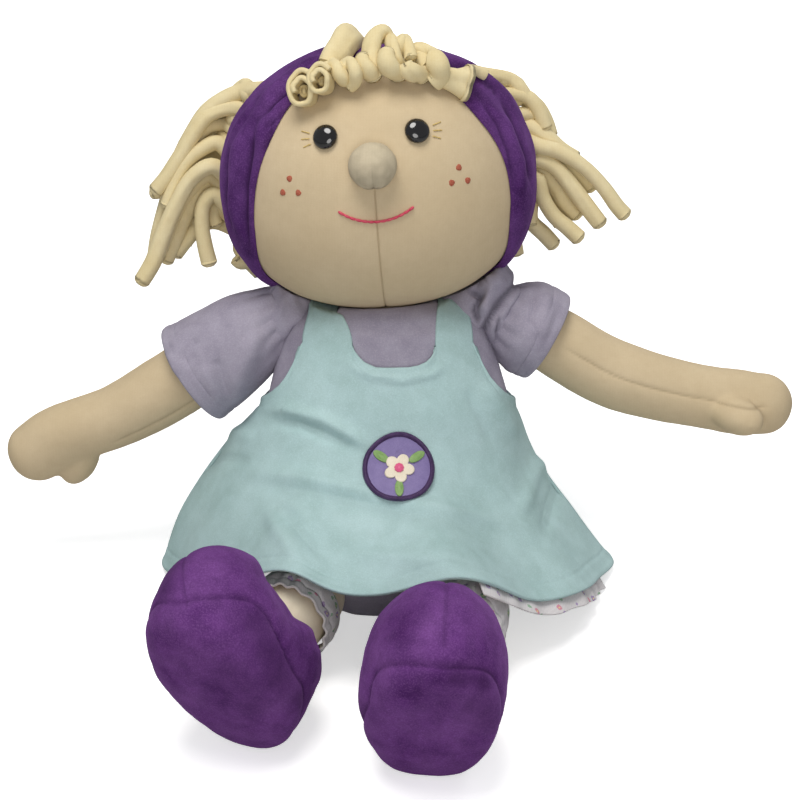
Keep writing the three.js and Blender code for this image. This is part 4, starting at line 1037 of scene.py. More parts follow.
def nose_ball():
    """A gathered ball: a short seam pulls in from its underside."""
    at, normal = face_at(0.0, NOSE_UP)
    centre = at + normal * NOSE_LIFT
    el, az = crossed(np.linspace(88, -88, 70), np.linspace(-180, 180, 120, endpoint=False))
    d = head_direction(np.radians(az), np.radians(el))
    radius = np.full(el.shape, NOSE_RADIUS)
    arc = np.radians(np.abs(az)) * np.cos(np.radians(el)) * NOSE_RADIUS
    radius -= ridges(arc, NOSE_SEAM) * ease((14 - el) / 40)
    radius += 0.25 * lumps(d * NOSE_RADIUS, 5.5)
    pucker = np.sin(np.radians(az) * PUCKERS) * PUCKER * ease((-30 - el) / 40)
    points = centre + d * (radius + pucker)[..., None]
    points[..., 0] *= 1.04
    # Painted shade: the nose is darker towards its underside and darkest under it, with a darker
    # seam line and random mottling.
    marks = 0.12 * ease((30 - el) / 80) + 0.15 * bell(arc, 0.3) * ease((14 - el) / 40)
    marks += 0.2 * lumps(d * NOSE_RADIUS, 3.5, 4.0) + 0.4 * ease((-52 - el) / 24)
    return (*tube_parts(from_head(points)), marks)


EYE_RIM, SHANK_RADIUS, SHANK = 0.5, 1.8, 8.0


def eye_dome(x):
    """A domed eye on its shank."""
    quarter = np.linspace(0, 1, 22)[:-1] * math.pi / 2
    radius = EYE_RADIUS * np.cos(quarter) ** 0.9
    height = EYE_RIM + (EYE_HEIGHT - EYE_RIM) * np.sin(quarter) ** 1.1
    turns = full_turn(48)
    profile = [(SHANK_RADIUS, -SHANK), (SHANK_RADIUS, 0.0), (EYE_RADIUS - 0.4, 0.0),
               (EYE_RADIUS, EYE_RIM / 2), *zip(radius, height)]
    rings = [[(r * math.sin(a), r * math.cos(a), z) for a in turns] for r, z in profile]
    points, faces = tube_parts(np.array(rings))
    return on_face(points, x, EYE_UP, 0.2), faces


def stitched(line, radius, lift, pitch):
    """A run of back stitches: plump short strands that overlap along a line on the face."""
    line = np.array(line, float)
    flat = np.c_[line[:, 0], np.zeros(len(line)), line[:, 1]]
    length = np.linalg.norm(np.diff(flat, axis=0), axis=1).sum()
    count = max(2, round(length / pitch))
    dense = spaced(flat, count * 6 + 1)
    parts = []
    for k in range(count):
        piece = dense[6 * k : 6 * k + 8]
        arch = np.sin(np.linspace(0, math.pi, len(piece)))
        path = []
        for (x, _, z), rise in zip(piece, arch):
            at, normal = face_at(x, z)
            path.append(at + normal * (lift + radius * (0.2 + 0.7 * rise)))
        normal = face_at(piece[0][0], piece[0][2])[1]
        thick = radius * (0.72 + 0.28 * arch)
        points, faces = tube(np.array(path), thick, 10, normal)
        parts.append((from_head(points), faces))
    return merged(parts)


def smile_line():
    angles = np.linspace(-SMILE_HALF, SMILE_HALF, 60)
    return np.stack([SMILE_RADIUS * np.sin(angles), SMILE_RISE - SMILE_RADIUS * np.cos(angles)], 1)


# Places in from a freckle's middle, as shares of its radius, and their heights.
FRECKLE_SECTION = [(0.05, 0.62), (0.5, 0.58), (0.8, 0.48), (1.0, 0.22), (1.02, -0.4)]


def freckle_spot(x, z, radius):
    """A thin disc of printed dye with a ragged edge."""
    turns = full_turn(28)
    ragged = 1 + 0.07 * np.sin(3 * turns + x) + 0.04 * np.sin(7 * turns)
    rings = [[(radius * s * w * math.sin(a), radius * s * w * math.cos(a), h)
              for a, w in zip(turns, ragged)] for s, h in FRECKLE_SECTION]
    points, faces = tube_parts(np.array(rings)[::-1])
    return on_face(points, x, z, 0.0), faces


marked("head_ball", head_ball(), SKIN, "head", "cream_jersey", ["head_skin", "head_stuffing"], 0.95)
marked("nose_ball", nose_ball(), NOSE, "head", "cream_jersey", ["nose"], 0.9)
for name, sign in SIGN.items():
    part(f"{name}_eye_dome", *eye_dome(sign * EYE_ACROSS), BLACK, "head", "eye_plastic",
         [f"{name}_eye"])
    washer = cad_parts[f"{name}_eye_washer"]
    washer.data.materials.clear()
    washer.data.materials.append(WASHER)
part("mouth_stitches", *stitched(smile_line(), 0.7, 0.1, 3.0), ROSE, "head", "rose_thread",
     ["mouth_stitching"])

LASH_TURNS, LASH_REACHES = np.radians([14, -4, -22]), (7.6, 9.6, 11.8)
CHEEK_ACROSS, CHEEK_UP = 40.0, 6.0
FRECKLES, FRECKLE_APART, FRECKLE_RADIUS = 3, 4.4, 1.5
for name, sign in SIGN.items():
    strokes = []
    for angle in LASH_TURNS:
        way = np.array([sign * math.cos(angle), math.sin(angle)])
        line = [np.array([sign * EYE_ACROSS, EYE_UP]) + way * reach for reach in LASH_REACHES]
        strokes.append(stitched(line, 0.26, 0.05, 2.2))
    make(f"{name}_lash_stitches", *merged(strokes), GOLD, "head")
    for k in range(FRECKLES):
        angle = 2 * math.pi * k / FRECKLES + math.pi / 2
        x = sign * (CHEEK_ACROSS + FRECKLE_APART * math.cos(angle))
        z = CHEEK_UP + FRECKLE_APART * math.sin(angle)
        part(f"{name}_freckle_spot_{k + 1}", *freckle_spot(x, z, FRECKLE_RADIUS), FRECKLE, "head",
             "freckle_print", [f"{name}_freckle_{k + 1}"])


# ---------------------------------------------------------------- headscarf
SCARF_FOLDS = [
    (-2.6, 3.2, [(255, 120), (250, 150), (245, 185), (245, 225), (250, 258)]),
    (2.4, 5.0, [(243, 124), (236, 156), (233, 195), (236, 235)]),
    (2.2, 4.5, [(264, 124), (262, 155), (255, 185), (250, 214)]),
    (-2.0, 2.8, [(272, 120), (270, 145), (263, 172), (257, 195)]),
    (-2.0, 2.8, [(230, 138), (225, 170), (226, 205), (233, 238)]),
    (2.0, 5.0, [(250, 114), (272, 90), (300, 68), (330, 53)]),
    (-2.4, 3.0, [(257, 120), (280, 98), (305, 80), (332, 68)]),
    (1.6, 4.0, [(268, 112), (290, 96), (306, 90)]),
    (-1.5, 2.6, [(262, 130), (284, 112), (296, 102)]),
    (-2.0, 3.0, [(497, 90), (514, 118), (527, 155), (533, 195)]),
    (2.0, 4.5, [(489, 98), (507, 126), (519, 162), (524, 205)]),
    (-1.6, 2.6, [(480, 98), (498, 124), (509, 152), (514, 190)]),
    (1.6, 4.5, [(440, 52), (470, 66), (500, 88), (520, 112)]),
    (-1.8, 2.8, [(440, 58), (462, 70), (480, 74)]),
    (-1.4, 2.6, [(486, 84), (494, 88), (498, 96)]),
]


def scarf_band():
    around = full_turn(460)
    across = np.linspace(-1, 1, 72)
    a, v = crossed(around, across)
    middle, half = scarf_span(a)
    profile = (1 - np.abs(v) ** 5) ** 0.5
    wider = bell(np.degrees(2 * np.pi - a) - 78, 38) * (a > np.pi)
    back = middle + half * v * 0.985 - math.radians(6.5) * wider * (1 - v) / 2
    outer = on_scarf(a, back, SCARF_GAP - 0.4 + (SCARF_THICK + 0.2) * profile)
    world = from_head(outer)
    outward = unit(outer) @ HEAD_TURN.T
    drift = 0.35 * np.sin(v * 5 + 2.2 * np.sin(a * 3)) + 0.5 * lumps(outer, 15, 7.0)
    gathers = 0.5 * bell(np.abs(a - np.radians(298)) * 60, 14) * np.sin(v * 17 + 1)
    lift = (np.maximum(folds(world, SCARF_FOLDS), -2.5) + drift + gathers) * profile
    # Painted shade in the band's pressed-in folds.
    marks = painted_crease_shade(world, SCARF_FOLDS)
    world = world + outward * lift[..., None]
    inner = from_head(on_scarf(a, back[:, ::-1], np.full_like(a, 0.5)))
    rings = np.concatenate([world, inner], 1)
    faces = grid_faces(len(around), rings.shape[1], close_rows=True, close_columns=True)
    return world, rings.reshape(-1, 3), faces, np.concatenate([marks, np.zeros_like(marks)], 1)


scarf_outside, *shape = scarf_band()
scarf = marked("headscarf_band", shape, PURPLE, "head", "purple_velour", ["headscarf"], None)


# ---------------------------------------------------------------- fringe
def rolled(crease, twist, flat=0.06):
    """Section of a rolled strip: nearly round, with the free edge as a crease along it."""

    def section(turn, steps):
        off = part_turn(turn[None] - crease - twist * np.linspace(0, 1, steps)[:, None])
        lip = np.where(off > 0, 0.07 * np.exp(-off / 0.5), 0)
        return 1 - 0.16 * bell(off, 0.2) + lip + flat * np.cos(2 * turn[None] + 1)

    return section


# Each curl's strands: thickness at both ends, flatness, and the picture places and heights over
# the head that the strand runs through.
CURLS = [
    [(3.6, 4.0, 0.1, [(318, 80, 3), (312, 76, 7), (305, 82, 8)]),
     (2.8, 2.6, 0.1, [(306, 92, 2), (304, 91, 8)])],
    [(3.4, 3.8, 0.1, [(336, 72, 4), (328, 68, 9), (323, 74, 10)]),
     (2.2, 2.0, 0.1, [(324, 82, 4), (322, 81, 10)])],
    [(5.4, 6.2, 0.26, [(331, 68, 7), (335, 58, 9), (341, 48, 10), (346, 40, 10), (351, 37, 8),
                       (355, 42, 4), (357, 49, 0)]),
     (3.5, 3.5, 0.1, [(331, 64, 8), (336, 68, 12), (341, 76, 11), (345, 82, 6)]),
     (3.2, 3.8, 0.1, [(342, 70, 10), (350, 63, 13), (355, 71, 13), (355, 80, 8), (350, 86, 4)])],
    [(3.6, 4.4, 0.1, [(362, 57, 13), (363, 63, 13), (368, 70, 10), (373, 76, 4)])],
    [(4.3, 4.6, 0.1, [(376, 76, 4), (372, 66, 9), (371, 50, 13), (374, 38, 15), (382, 33, 14),
                      (386, 42, 10)]),
     (3.0, 3.4, 0.1, [(388, 36, 11), (392, 44, 14), (395, 56, 13), (399, 66, 8)]),
     (4.4, 4.7, 0.1, [(386, 53, 15), (386, 60, 15), (390, 68, 12), (400, 74, 5)])],
    [(3.8, 3.2, 0.1, [(398, 56, 8), (400, 46, 13), (404, 41, 14), (409, 50, 13), (411, 60, 11)]),
     (4.0, 4.3, 0.1, [(404, 64, 13), (407, 69, 12), (414, 73, 10), (424, 75, 5)])],
    [(3.4, 3.8, 0.1, [(412, 56, 7), (420, 50, 11), (430, 54, 12), (437, 60, 12)]),
     (4.2, 4.2, 0.1, [(414, 50, 8), (422, 58, 9), (428, 66, 8)]),
     (4.9, 4.6, 0.1, [(430, 60, 13), (435, 61, 14), (439, 67, 13), (439, 76, 8), (432, 82, 4)]),
     (2.8, 6.6, 0.34, [(436, 78, 5), (446, 78, 7), (458, 81, 7), (470, 84, 7)]),
     (3.0, 2.4, 0.1, [(466, 72, 7), (477, 71, 8), (486, 75, 8)])],
]
# Two strips rolled up on themselves, seen on their ends: place, height, half sizes and length.
ROLLS = {0: (304, 90, 8, 6.0, 8.2, 9), 1: (322, 80, 10, 4.7, 6.4, 9)}


def curl_parts(strands, index):
    parts = []
    for k, (first, last, flat, places) in enumerate(strands):
        line = np.array([head_at_pixel(x, y, lift) for x, y, lift in places])
        path = catmull(line, 46)
        out = unit(path.mean(0))
        thick = np.linspace(first, last, 46) + 0.2 * np.sin(np.linspace(0, 9, 46) + index)
        section = rolled(0.9 * index + 2.1 * k, 0.8 if flat > 0.2 else 2.5, flat)
        points, faces = tube(path, thick, 22, out, section)
        parts.append((from_head(points), faces))
    return parts


def rolled_strip(x, y, lift, wide, tall, long):
    """A strip rolled up on itself, whose end faces the camera."""
    axis = unit(-sight(x, y) @ HEAD_TURN + np.array([-0.25, 0, 0.1]))
    across = unit(np.cross([0, 0, 1.0], axis))
    upright = np.cross(axis, across)
    share = np.linspace(0, 1, 90)
    turn = 2 * np.pi * 1.45 * share + 0.6
    size = lerp(1.0, 0.36, share) + 0.03 * np.sin(5 * turn)
    spoke = (across * (wide * size * np.cos(turn))[:, None]
             + upright * (tall * size * np.sin(turn))[:, None])
    along = np.linspace(-0.7, 0.5, 12) * long
    seat = head_at_pixel(x, y, lift)
    rise = (0.7 * np.sin(2.2 * turn) + 2.2 * share)[:, None] * axis
    grid = seat + spoke[None] + axis * along[:, None, None] + rise[None]
    points, faces = shell(grid, 2.3)
    return from_head(points), faces


for k, strands in enumerate(CURLS):
    parts = curl_parts(strands, k)
    if k in ROLLS:
        parts.append(rolled_strip(*ROLLS[k]))
    part(f"fringe_loop_{k + 1}", *merged(parts), YELLOW, "head", "yellow_jersey",
         [f"fringe_curl_{k + 1}"], 0.7)


# ---------------------------------------------------------------- hair
# Each strand's loose end: how far back it hangs, and the picture places that it runs through.
TAILS = {
    "right": [
        (26, [(242, 92), (224, 99), (206, 112), (192, 134), (181, 156)]),
        (24, [(230, 108), (208, 116), (192, 137), (178, 160), (166, 178), (153, 193)]),
        (30, [(226, 124), (206, 128), (190, 147), (175, 176), (165, 206), (157, 236), (154, 256)]),
        (24, [(218, 143), (200, 150), (185, 164), (174, 186), (167, 208)]),
        (18, [(212, 166), (193, 177), (177, 203), (164, 233), (153, 262), (140, 284)]),
        (30, [(212, 184), (196, 196), (184, 218), (174, 242), (165, 263)]),
        (22, [(214, 194), (204, 204), (202, 226), (205, 246), (210, 266)]),
        (34, [(216, 222), (200, 226), (186, 240), (174, 256)]),
        (34, [(246, 262), (240, 262), (235, 257)]),
        (34, [(246, 86), (232, 97), (216, 106), (199, 124), (184, 148)]),
        (34, [(232, 116), (210, 124), (190, 150), (172, 180), (158, 190), (150, 190)]),
        (36, [(222, 134), (200, 146), (182, 176), (170, 206), (161, 226)]),
        (36, [(214, 158), (190, 172), (174, 200), (168, 226), (164, 246)]),
        (28, [(210, 176), (192, 190), (176, 216), (166, 240), (158, 258)]),
        (36, [(212, 198), (200, 216), (190, 234), (184, 246)]),
        (28, [(218, 206), (214, 216), (218, 227)]),
        (36, [(240, 246), (250, 262), (262, 274)]),
    ],
    "left": [
        (24, [(496, 76), (510, 80), (519, 88), (526, 100)]),
        (24, [(514, 92), (528, 98), (539, 112), (546, 130)]),
        (28, [(524, 106), (538, 116), (545, 132), (552, 144)]),
        (18, [(538, 146), (557, 151), (583, 166), (604, 188), (617, 206), (627, 217)]),
        (20, [(540, 160), (556, 168), (572, 187), (588, 208), (602, 226)]),
        (28, [(540, 172), (556, 186), (566, 203), (580, 217)]),
        (20, [(536, 178), (543, 198), (554, 216), (568, 228), (581, 240)]),
        (30, [(528, 208), (532, 222), (544, 234), (556, 247)]),
        (34, [(505, 240), (510, 250), (511, 257)]),
        (30, [(503, 78), (517, 84), (524, 96), (534, 104)]),
        (32, [(522, 98), (536, 106), (545, 122), (550, 138)]),
        (24, [(532, 126), (545, 136), (560, 149), (578, 160)]),
        (30, [(540, 152), (560, 160), (580, 174), (594, 190)]),
        (34, [(542, 170), (552, 186), (557, 204), (561, 224)]),
        (36, [(538, 184), (548, 200), (556, 216), (562, 226)]),
        (26, [(531, 196), (531, 210), (529, 226)]),
        (36, [(510, 232), (514, 244), (516, 256)]),
    ],
}
STRAND = 4.2
TOP_ROW, ROW_STEP, SAG = math.radians(42), math.radians(9.5), math.radians(5)
# Rows of strands down the parting, and rows between them in a layer above.
ROWS, UPPER_ROWS, LAYER_RISE = 9, 8, 3.6
PARTING_GAP, EDGE_GAP, SCARF_END, TAIL_NEAR = 1.1, 2.2, math.radians(107), 9.0
# The roll of hair along the parting.
ROOT_OFF, ROOT_LIFT, ROOT_RADIUS = 6.0, 5.0, 4.6


def scarf_back_edge(elevation):
    """How far round from the face the headscarf ends at an elevation."""
    around = np.linspace(0, np.pi, 181)
    middle, half = scarf_span(around)
    edge = on_scarf(around, middle + half, 0.0)
    off = np.abs(np.arcsin(edge[:, 2] / np.linalg.norm(edge, axis=1)) - elevation)
    at = edge[np.argmin(off)]
    return max(math.atan2(at[0], -at[1]), SCARF_END - STRAND / HEAD_WIDE)


def hung_at(x, y, back):
    """The point, in the head's frame, that the camera sees at a pixel so far behind the middle."""
    start, ray = to_head(EYE_POINT), sight(x, y) @ HEAD_TURN
    return start + ray * (back - start[1]) / ray[1]


def hair_strand(side, row, layer):
    """One rolled strand: from the parting round the back of the head, then down to its tip."""
    back, places = TAILS["right" if side < 0 else "left"][int(row) + ROWS * layer]
    elevation = TOP_ROW - ROW_STEP * row
    lift = SCARF_GAP + STRAND + LAYER_RISE * layer
    off = (STRAND + PARTING_GAP) / (HEAD_DEEP * math.cos(elevation))
    parting = math.pi - math.asin(min(0.95, off))
    last = scarf_back_edge(elevation - SAG)
    last += (STRAND + EDGE_GAP) / (HEAD_WIDE * math.cos(elevation - SAG))
    points = []
    for share in np.linspace(0, 1, 5):
        azimuth = side * lerp(parting, last, share)
        points.append(on_head(azimuth, elevation - SAG * share, lift))
    tail = [hung_at(x, y, back) for x, y in places]
    if np.linalg.norm(tail[0] - points[-1]) < TAIL_NEAR:
        tail = tail[1:]
    return catmull([*points, *tail], 90)


def hair_side(side):
    """All strands of one side of the head, in its two layers, and the roll at their roots."""
    parts = []
    rows = [(k, 0) for k in range(ROWS)] + [(k + 0.5, 1) for k in range(UPPER_ROWS)]
    for k, (row, layer) in enumerate(rows):
        path = hair_strand(side, row, layer)
        thick = STRAND * (1 + 0.05 * np.sin(np.linspace(0, 14, 90) + 2 * k))
        thick = thick * (1 + 0.06 * math.sin(5.3 * k))
        parts.append(tube(path, thick, 20, np.array([0, 1.0, 0.2]), rolled(1.7 * k, 3.0)))
    elevations = np.linspace(TOP_ROW + 0.05, TOP_ROW - (ROWS - 1) * ROW_STEP - 0.05, 40)
    offs = np.arcsin(np.clip(ROOT_OFF / (HEAD_DEEP * np.cos(elevations)), -0.95, 0.95))
    root = on_head(side * (math.pi - offs), elevations, ROOT_LIFT)
    parts.append(tube(root, ROOT_RADIUS, 18, np.array([0, 1.0, 0]), rolled(1.0, 2.0)))
    points, faces = merged(parts)
    return from_head(points), faces


for name, side in SIGN.items():
    part(f"{name}_hair_strands", *hair_side(side), YELLOW, "head", "yellow_jersey",
         [f"hair_{name}"], 0.7)


# ---------------------------------------------------------------- arms
def remeshed(points, faces, voxel, smooth_steps):
    """The outside of overlapping closed shapes as one even skin, smoothed."""
    mesh = bpy.data.meshes.new("skin_before")
    mesh.from_pydata(np.asarray(points, float).tolist(), [], faces)
    obj = stood("skin_before", mesh)
    skin = obj.modifiers.new("skin", "REMESH")
    skin.mode, skin.voxel_size = "VOXEL", voxel
    even = obj.modifiers.new("even", "SMOOTH")
    even.factor, even.iterations = 0.5, smooth_steps
    made = bpy.data.meshes.new_from_object(obj.evaluated_get(bpy.context.evaluated_depsgraph_get()))
    found = vertex_places(made), [list(p.vertices) for p in made.polygons]
    bpy.data.objects.remove(obj)
    bpy.data.meshes.remove(mesh)
    bpy.data.meshes.remove(made)
    return found


def point_normals(points, faces):
    quads = np.array([f if len(f) == 4 else [*f, f[-1]] for f in faces])
    a, b, c, d = (points[quads[:, k]] for k in range(4))
    out = np.cross(c - a, d - b)
    total = np.zeros_like(points)
    for k in range(4):
        np.add.at(total, quads[:, k], out)
    return unit(total)


def near_route(points, route):
    """Distance along a route, and angle round it from its front, of each point."""
    block = 4000
    distance = np.zeros(len(points))
    line, run = route.line[::3], route.run[::3]
    for start in range(0, len(points), block):
        chunk = points[start : start + block]
        gap = np.linalg.norm(chunk[:, None] - line[None], axis=-1)
        distance[start : start + block] = run[gap.argmin(1)]
    centre, _, side, front = route.at(distance)
    off = points - centre
    return distance, np.arctan2(dot(off, side), dot(off, front))


# Shares of the arm's length, and of its radius across and through.
ARM_SHARES = [
    [0.0, 0.7, 0.7], [0.034, 0.82, 0.82], [0.13, 0.94, 0.94], [0.27, 1, 1], [0.42, 1, 1],
    [0.55, 0.96, 0.96], [0.66, 0.92, 0.9], [0.74, 0.93, 0.85], [0.82, 0.98, 0.8],
]
ARM_START, HAND_WIDE, HAND_DEEP = 0.034, 0.92, 0.74
THUMB_AT, THUMB_OUT, THUMB_LEAN = 128.0, 15.5, math.radians(36)
THUMB_LONG, THUMB_RADIUS = 15.0, 9.6
# The seam's angle round the arm, and where along the arm it starts and ends.
ARM_SEAM = {"right": -0.45, "left": -0.35}
ARM_GROOVE = [(0.5, 0, 0.8), (0.3, 0, 3.0)]
SEAM_START, SEAM_END = 25.0, {"right": 106.0, "left": 148.0}
SKIN_VOXEL, SKIN_SMOOTH = 1.25, 14


def arm_skin(name):
    """An arm with its thumb as one skin, with a seam along its side."""
    route = ARM_ROUTE[name]
    reach = route.length
    wide, deep = HAND_WIDE * ARM_RADIUS, HAND_DEEP * ARM_RADIUS
    last = (wide + deep) / 2
    body = np.linspace(ARM_START * reach, reach - last, 60)
    cap = np.linspace(0, 0.985, 12)[1:] * np.pi / 2
    turn = full_turn(48)
    shares = ARM_SHARES + [[1 - last / reach, HAND_WIDE, HAND_DEEP]]
    w, d = (smooth_table(body / reach, shares, column) * ARM_RADIUS for column in (1, 2))
    tip = reach - last + last * np.sin(cap)
    rings = np.concatenate([route.rings(body, w, d, turn),
                            route.rings(tip, wide * np.cos(cap), deep * np.cos(cap), turn)])
    centre, along, side, front = (v[0] for v in route.at(np.array([THUMB_AT])))
    off = side * math.cos(THUMB_TURN[name]) + front * math.sin(THUMB_TURN[name])
    long = along * math.cos(THUMB_LEAN) + off * math.sin(THUMB_LEAN)
    flat = np.cross(along, off)
    cross = np.cross(flat, long)
    _, _, ball = ball_directions(24, 32)
    lobe = sum(ball[..., k : k + 1] * way * size for k, (way, size) in enumerate(
        [(long, THUMB_LONG), (cross, THUMB_RADIUS), (flat, THUMB_RADIUS)]))
    lobe = lobe + centre + off * THUMB_OUT
    points, faces = remeshed(*merged([tube_parts(rings), tube_parts(lobe)]), SKIN_VOXEL,
                             SKIN_SMOOTH)
    normals = point_normals(points, faces)
    distance, angle = near_route(points, route)
    off = part_turn(angle - ARM_SEAM[name])
    arc = np.abs(off) * ARM_RADIUS * np.cos(np.clip(off, -1.2, 1.2))
    end = min(SEAM_END[name], reach - 6)
    run = ease((distance - SEAM_START) / 20) * ease((end - distance) / 12)
    seam = ridges(arc, ARM_GROOVE) * run
    marks = 0.4 * bell(arc, 0.55) * run
    soft = 0.5 * lumps(points, 22, 11.0) + 0.12 * lumps(points, 6, 2.0)
    return points + normals * (soft - seam)[:, None], faces, marks


for name in SIGN:
    marked(f"{name}_arm_plush", arm_skin(name), SKIN, f"{name}_arm", "cream_jersey",
           [f"{name}_arm_skin", f"{name}_arm_stuffing"], 0.8)


# ---------------------------------------------------------------- sleeves
SLEEVE_CLOTH, SLEEVE_FROM, SLEEVE_HEM = 1.5, -8.0, 7.5
# The turned edge stands out, and the stitches that hold it are pressed in.
SLEEVE_EDGE = [(0.45, 1.2, 1.6), (-0.35, SLEEVE_HEM, 0.8)]
SLEEVE_LENGTH = {"right": 51.0, "left": 24.0}
# Distance along the arm, and the sleeve's radius there.
SLEEVE_RADII = {
    "right": [[-8, 11.5], [-4, 13.5], [2, 15.8], [8, 18.6], [18, 21.3], [30, 23.2], [42, 24.6],
              [51, 25.4]],
    "left": [[-8, 11.0], [-4, 13.2], [2, 17.0], [7, 20.2], [13, 22.4], [18, 22.6], [24, 21.6]],
}
LEFT_FOLDS = [
    (-3.2, 3.0, [(468, 290), (481, 297), (474, 309), (479, 326)]),
    (2.8, 5.0, [(478, 284), (490, 292), (484, 306), (488, 316)]),
    (-3.4, 2.8, [(518, 280), (500, 300), (487, 321), (482, 333), (491, 355), (504, 366)]),
    (2.4, 4.5, [(523, 285), (508, 304), (495, 325), (490, 342)]),
    (3.0, 5.5, [(502, 268), (494, 286), (500, 296)]),
    (-2.2, 2.4, [(487, 262), (483, 276), (489, 284)]),
    (-2.0, 2.4, [(500, 313), (496, 330), (501, 342)]),
    (1.8, 4.0, [(508, 318), (504, 334), (509, 348)]),
    (-1.4, 4.0, [(531, 286), (534, 306), (528, 330)]),
    (1.4, 6.0, [(542, 290), (546, 312), (540, 340)]),
]
SLEEVE_FOLDS = {
    "right": [
        (1.6, 9, [(283, 290), (262, 330), (240, 372), (226, 405)]),
        (-1.3, 7, [(200, 336), (190, 348), (182, 368)]),
        (1.2, 8, [(182, 338), (176, 355), (180, 378)]),
        (-1.1, 6, [(246, 300), (248, 322), (243, 348)]),
        (1.0, 6, [(256, 296), (260, 320), (256, 345)]),
        (-0.9, 6, [(214, 356), (222, 376), (228, 396)]),
        (0.9, 6, [(204, 362), (212, 384), (220, 404)]),
    ],
    "left": LEFT_FOLDS,
}


def sleeve_grid(name):
    """A sleeve from its gathers at the shoulder to its stitched hem."""
    route, reach = ARM_ROUTE[name], SLEEVE_LENGTH[name]
    distance = np.linspace(SLEEVE_FROM, reach, 90)
    turn = full_turn(150)
    radius = smooth_table(distance, SLEEVE_RADII[name], 1)
    grid, outward = route.tube(distance, radius, turn)
    free = ease((distance - 2) / 14)[:, None]
    lift = 1.4 * folds(grid, SLEEVE_FOLDS[name]) * free
    lift += 0.7 * lumps(grid, 16, 4.0) * free
    root = ease((16 - distance) / 16)[:, None]
    lift += 0.5 * root * np.sin(13 * turn + 0.8 * np.sin(3 * turn))[None]
    from_hem = (reach - distance)[:, None]
    lift += ridges(from_hem, SLEEVE_EDGE)
    lift += 0.12 * bell(from_hem - SLEEVE_HEM, 1.2) * np.sin(70 * turn)[None]
    return grid + outward * lift[..., None]


# Half sizes of the gathered dome, and its place from the joint.
CAP_HALVES = {"right": np.array([18.0, 16.0, 16.5]), "left": np.array([22.0, 17.0, 19.0])}
CAP_OFF = {"right": np.array([3.5, 0, -1.0]), "left": np.array([-9.0, 0, 2.5])}
CAP_GAP, CAP_INWARD = 1.2, 0.05


def shoulder_cap(name):
    """The top of the sleeve where it is set into the shirt: a gathered dome over the joint."""
    el, az, d = ball_directions(60, 110)
    ball = d * CAP_HALVES[name]
    ball = ball * (1 + CAP_INWARD * ease(-SIGN[name] * d[..., 0])[..., None])
    points = SHOULDER[name] + ball + CAP_OFF[name]
    lift = 1.25 * folds(points, SHOULDER_FOLDS[name])
    lift += 0.6 * lumps(points, 9, 6.0) + 0.35 * np.sin(9 * az + 2 * np.sin(2 * el)) * np.cos(el)
    points = clear_of_head(points + unit(ball) * lift[..., None], CAP_GAP)
    # The marks are painted shade in the pressed-in folds.
    return (*tube_parts(points), painted_crease_shade(points, SHOULDER_FOLDS[name]))


SHOULDER_FOLDS = {
    "right": [
        (4.0, 12, [(268, 286), (288, 280), (306, 290)]),
        (-1.6, 3.5, [(303, 322), (285, 345), (272, 358)]),
        (1.2, 5, [(300, 285), (285, 300), (275, 325)]),
    ],
    "left": [(4.0, 12, [(480, 288), (497, 281), (514, 284)])] + LEFT_FOLDS,
}

for name, sign in SIGN.items():
    cap = marked(f"{name}_shoulder_cap", shoulder_cap(name), SHIRT, None, "lilac_cotton",
                 [f"{name}_arm_gather"], 0.4)
    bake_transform(cap)
    grid = sleeve_grid(name)
    # The sleeve's marks are painted shade in its pressed-in folds.
    sleeve = part(f"{name}_sleeve_cloth", *shell(grid, SLEEVE_CLOTH, True), SHIRT, f"{name}_arm",
                  "lilac_cotton", [f"{name}_sleeve"], marks=painted_crease_shade(grid, SLEEVE_FOLDS[name]))


# ---------------------------------------------------------------- legs and bloomers
LEG_SHORT, LEG_TOP, LEG_ANKLE = 8.0, 18.4, 16.9
LEG_SEAM = 0.5


def leg_skin(name):
    """A leg down to the shoe, with a round top and a seam."""
    route = LEG_ROUTE[name]
    cap = np.radians(np.linspace(-90, -2, 14))
    distance = np.r_[LEG_RADIUS * np.sin(cap), np.linspace(0, route.length - LEG_SHORT, 60)]
    radius = np.r_[LEG_RADIUS * np.cos(cap), np.linspace(LEG_TOP, LEG_ANKLE, 60)]
    turn = full_turn(72)
    rings, outward = route.tube(distance, np.maximum(radius, 0.3), turn)
    off = part_turn(turn + LEG_SEAM)
    lift = 0.5 * lumps(rings, 20, 9.0) - 0.6 * bell(off * LEG_RADIUS, 0.9)[None]
    return tube_parts(rings + outward * lift[..., None])


# The cuffs' lengths, their start along the leg, their radius and its shares down the cuff.
CUFF = {"right": 18.0, "left": 26.0}
CUFF_FROM, CUFF_RADIUS, CUFF_CLOTH = 12.0, 22.4, 1.2
CUFF_SHARES = [[0, 0.925], [0.4, 0.95], [0.75, 0.94], [1, 0.91]]
CUFF_EDGE = [(-0.7, 6.5, 1.3), (0.35, 0, 1.2)]
CUFF_GATHERS, CUFF_GATHER = 15, 0.75


def cuff_grid(name):
    """A gathered bloomer cuff, drawn in by its elastic."""
    distance = np.linspace(CUFF_FROM, CUFF_FROM + CUFF[name], 60)
    share = ((distance - CUFF_FROM) / CUFF[name])[:, None]
    turn = full_turn(160)
    radius = CUFF_RADIUS * table(share[:, 0], CUFF_SHARES, 1)
    rings, outward = LEG_ROUTE[name].tube(distance, radius, turn)
    wave = np.sin(CUFF_GATHERS * turn + 1.1 * np.sin(4 * turn))[None]
    lift = CUFF_GATHER * wave * ease(share / 0.5) * (0.45 + 0.55 * share)
    lift = lift + ridges((1 - share) * CUFF[name], CUFF_EDGE)
    return rings + outward * lift[..., None]


# ---------------------------------------------------------------- shoes
SHOE_LONG, SHOE_WIDE, SHOE_UP, SHOE_DOWN = 52.0, 32.0, 36.0, 29.0
SOLE_SEAM = -16.0
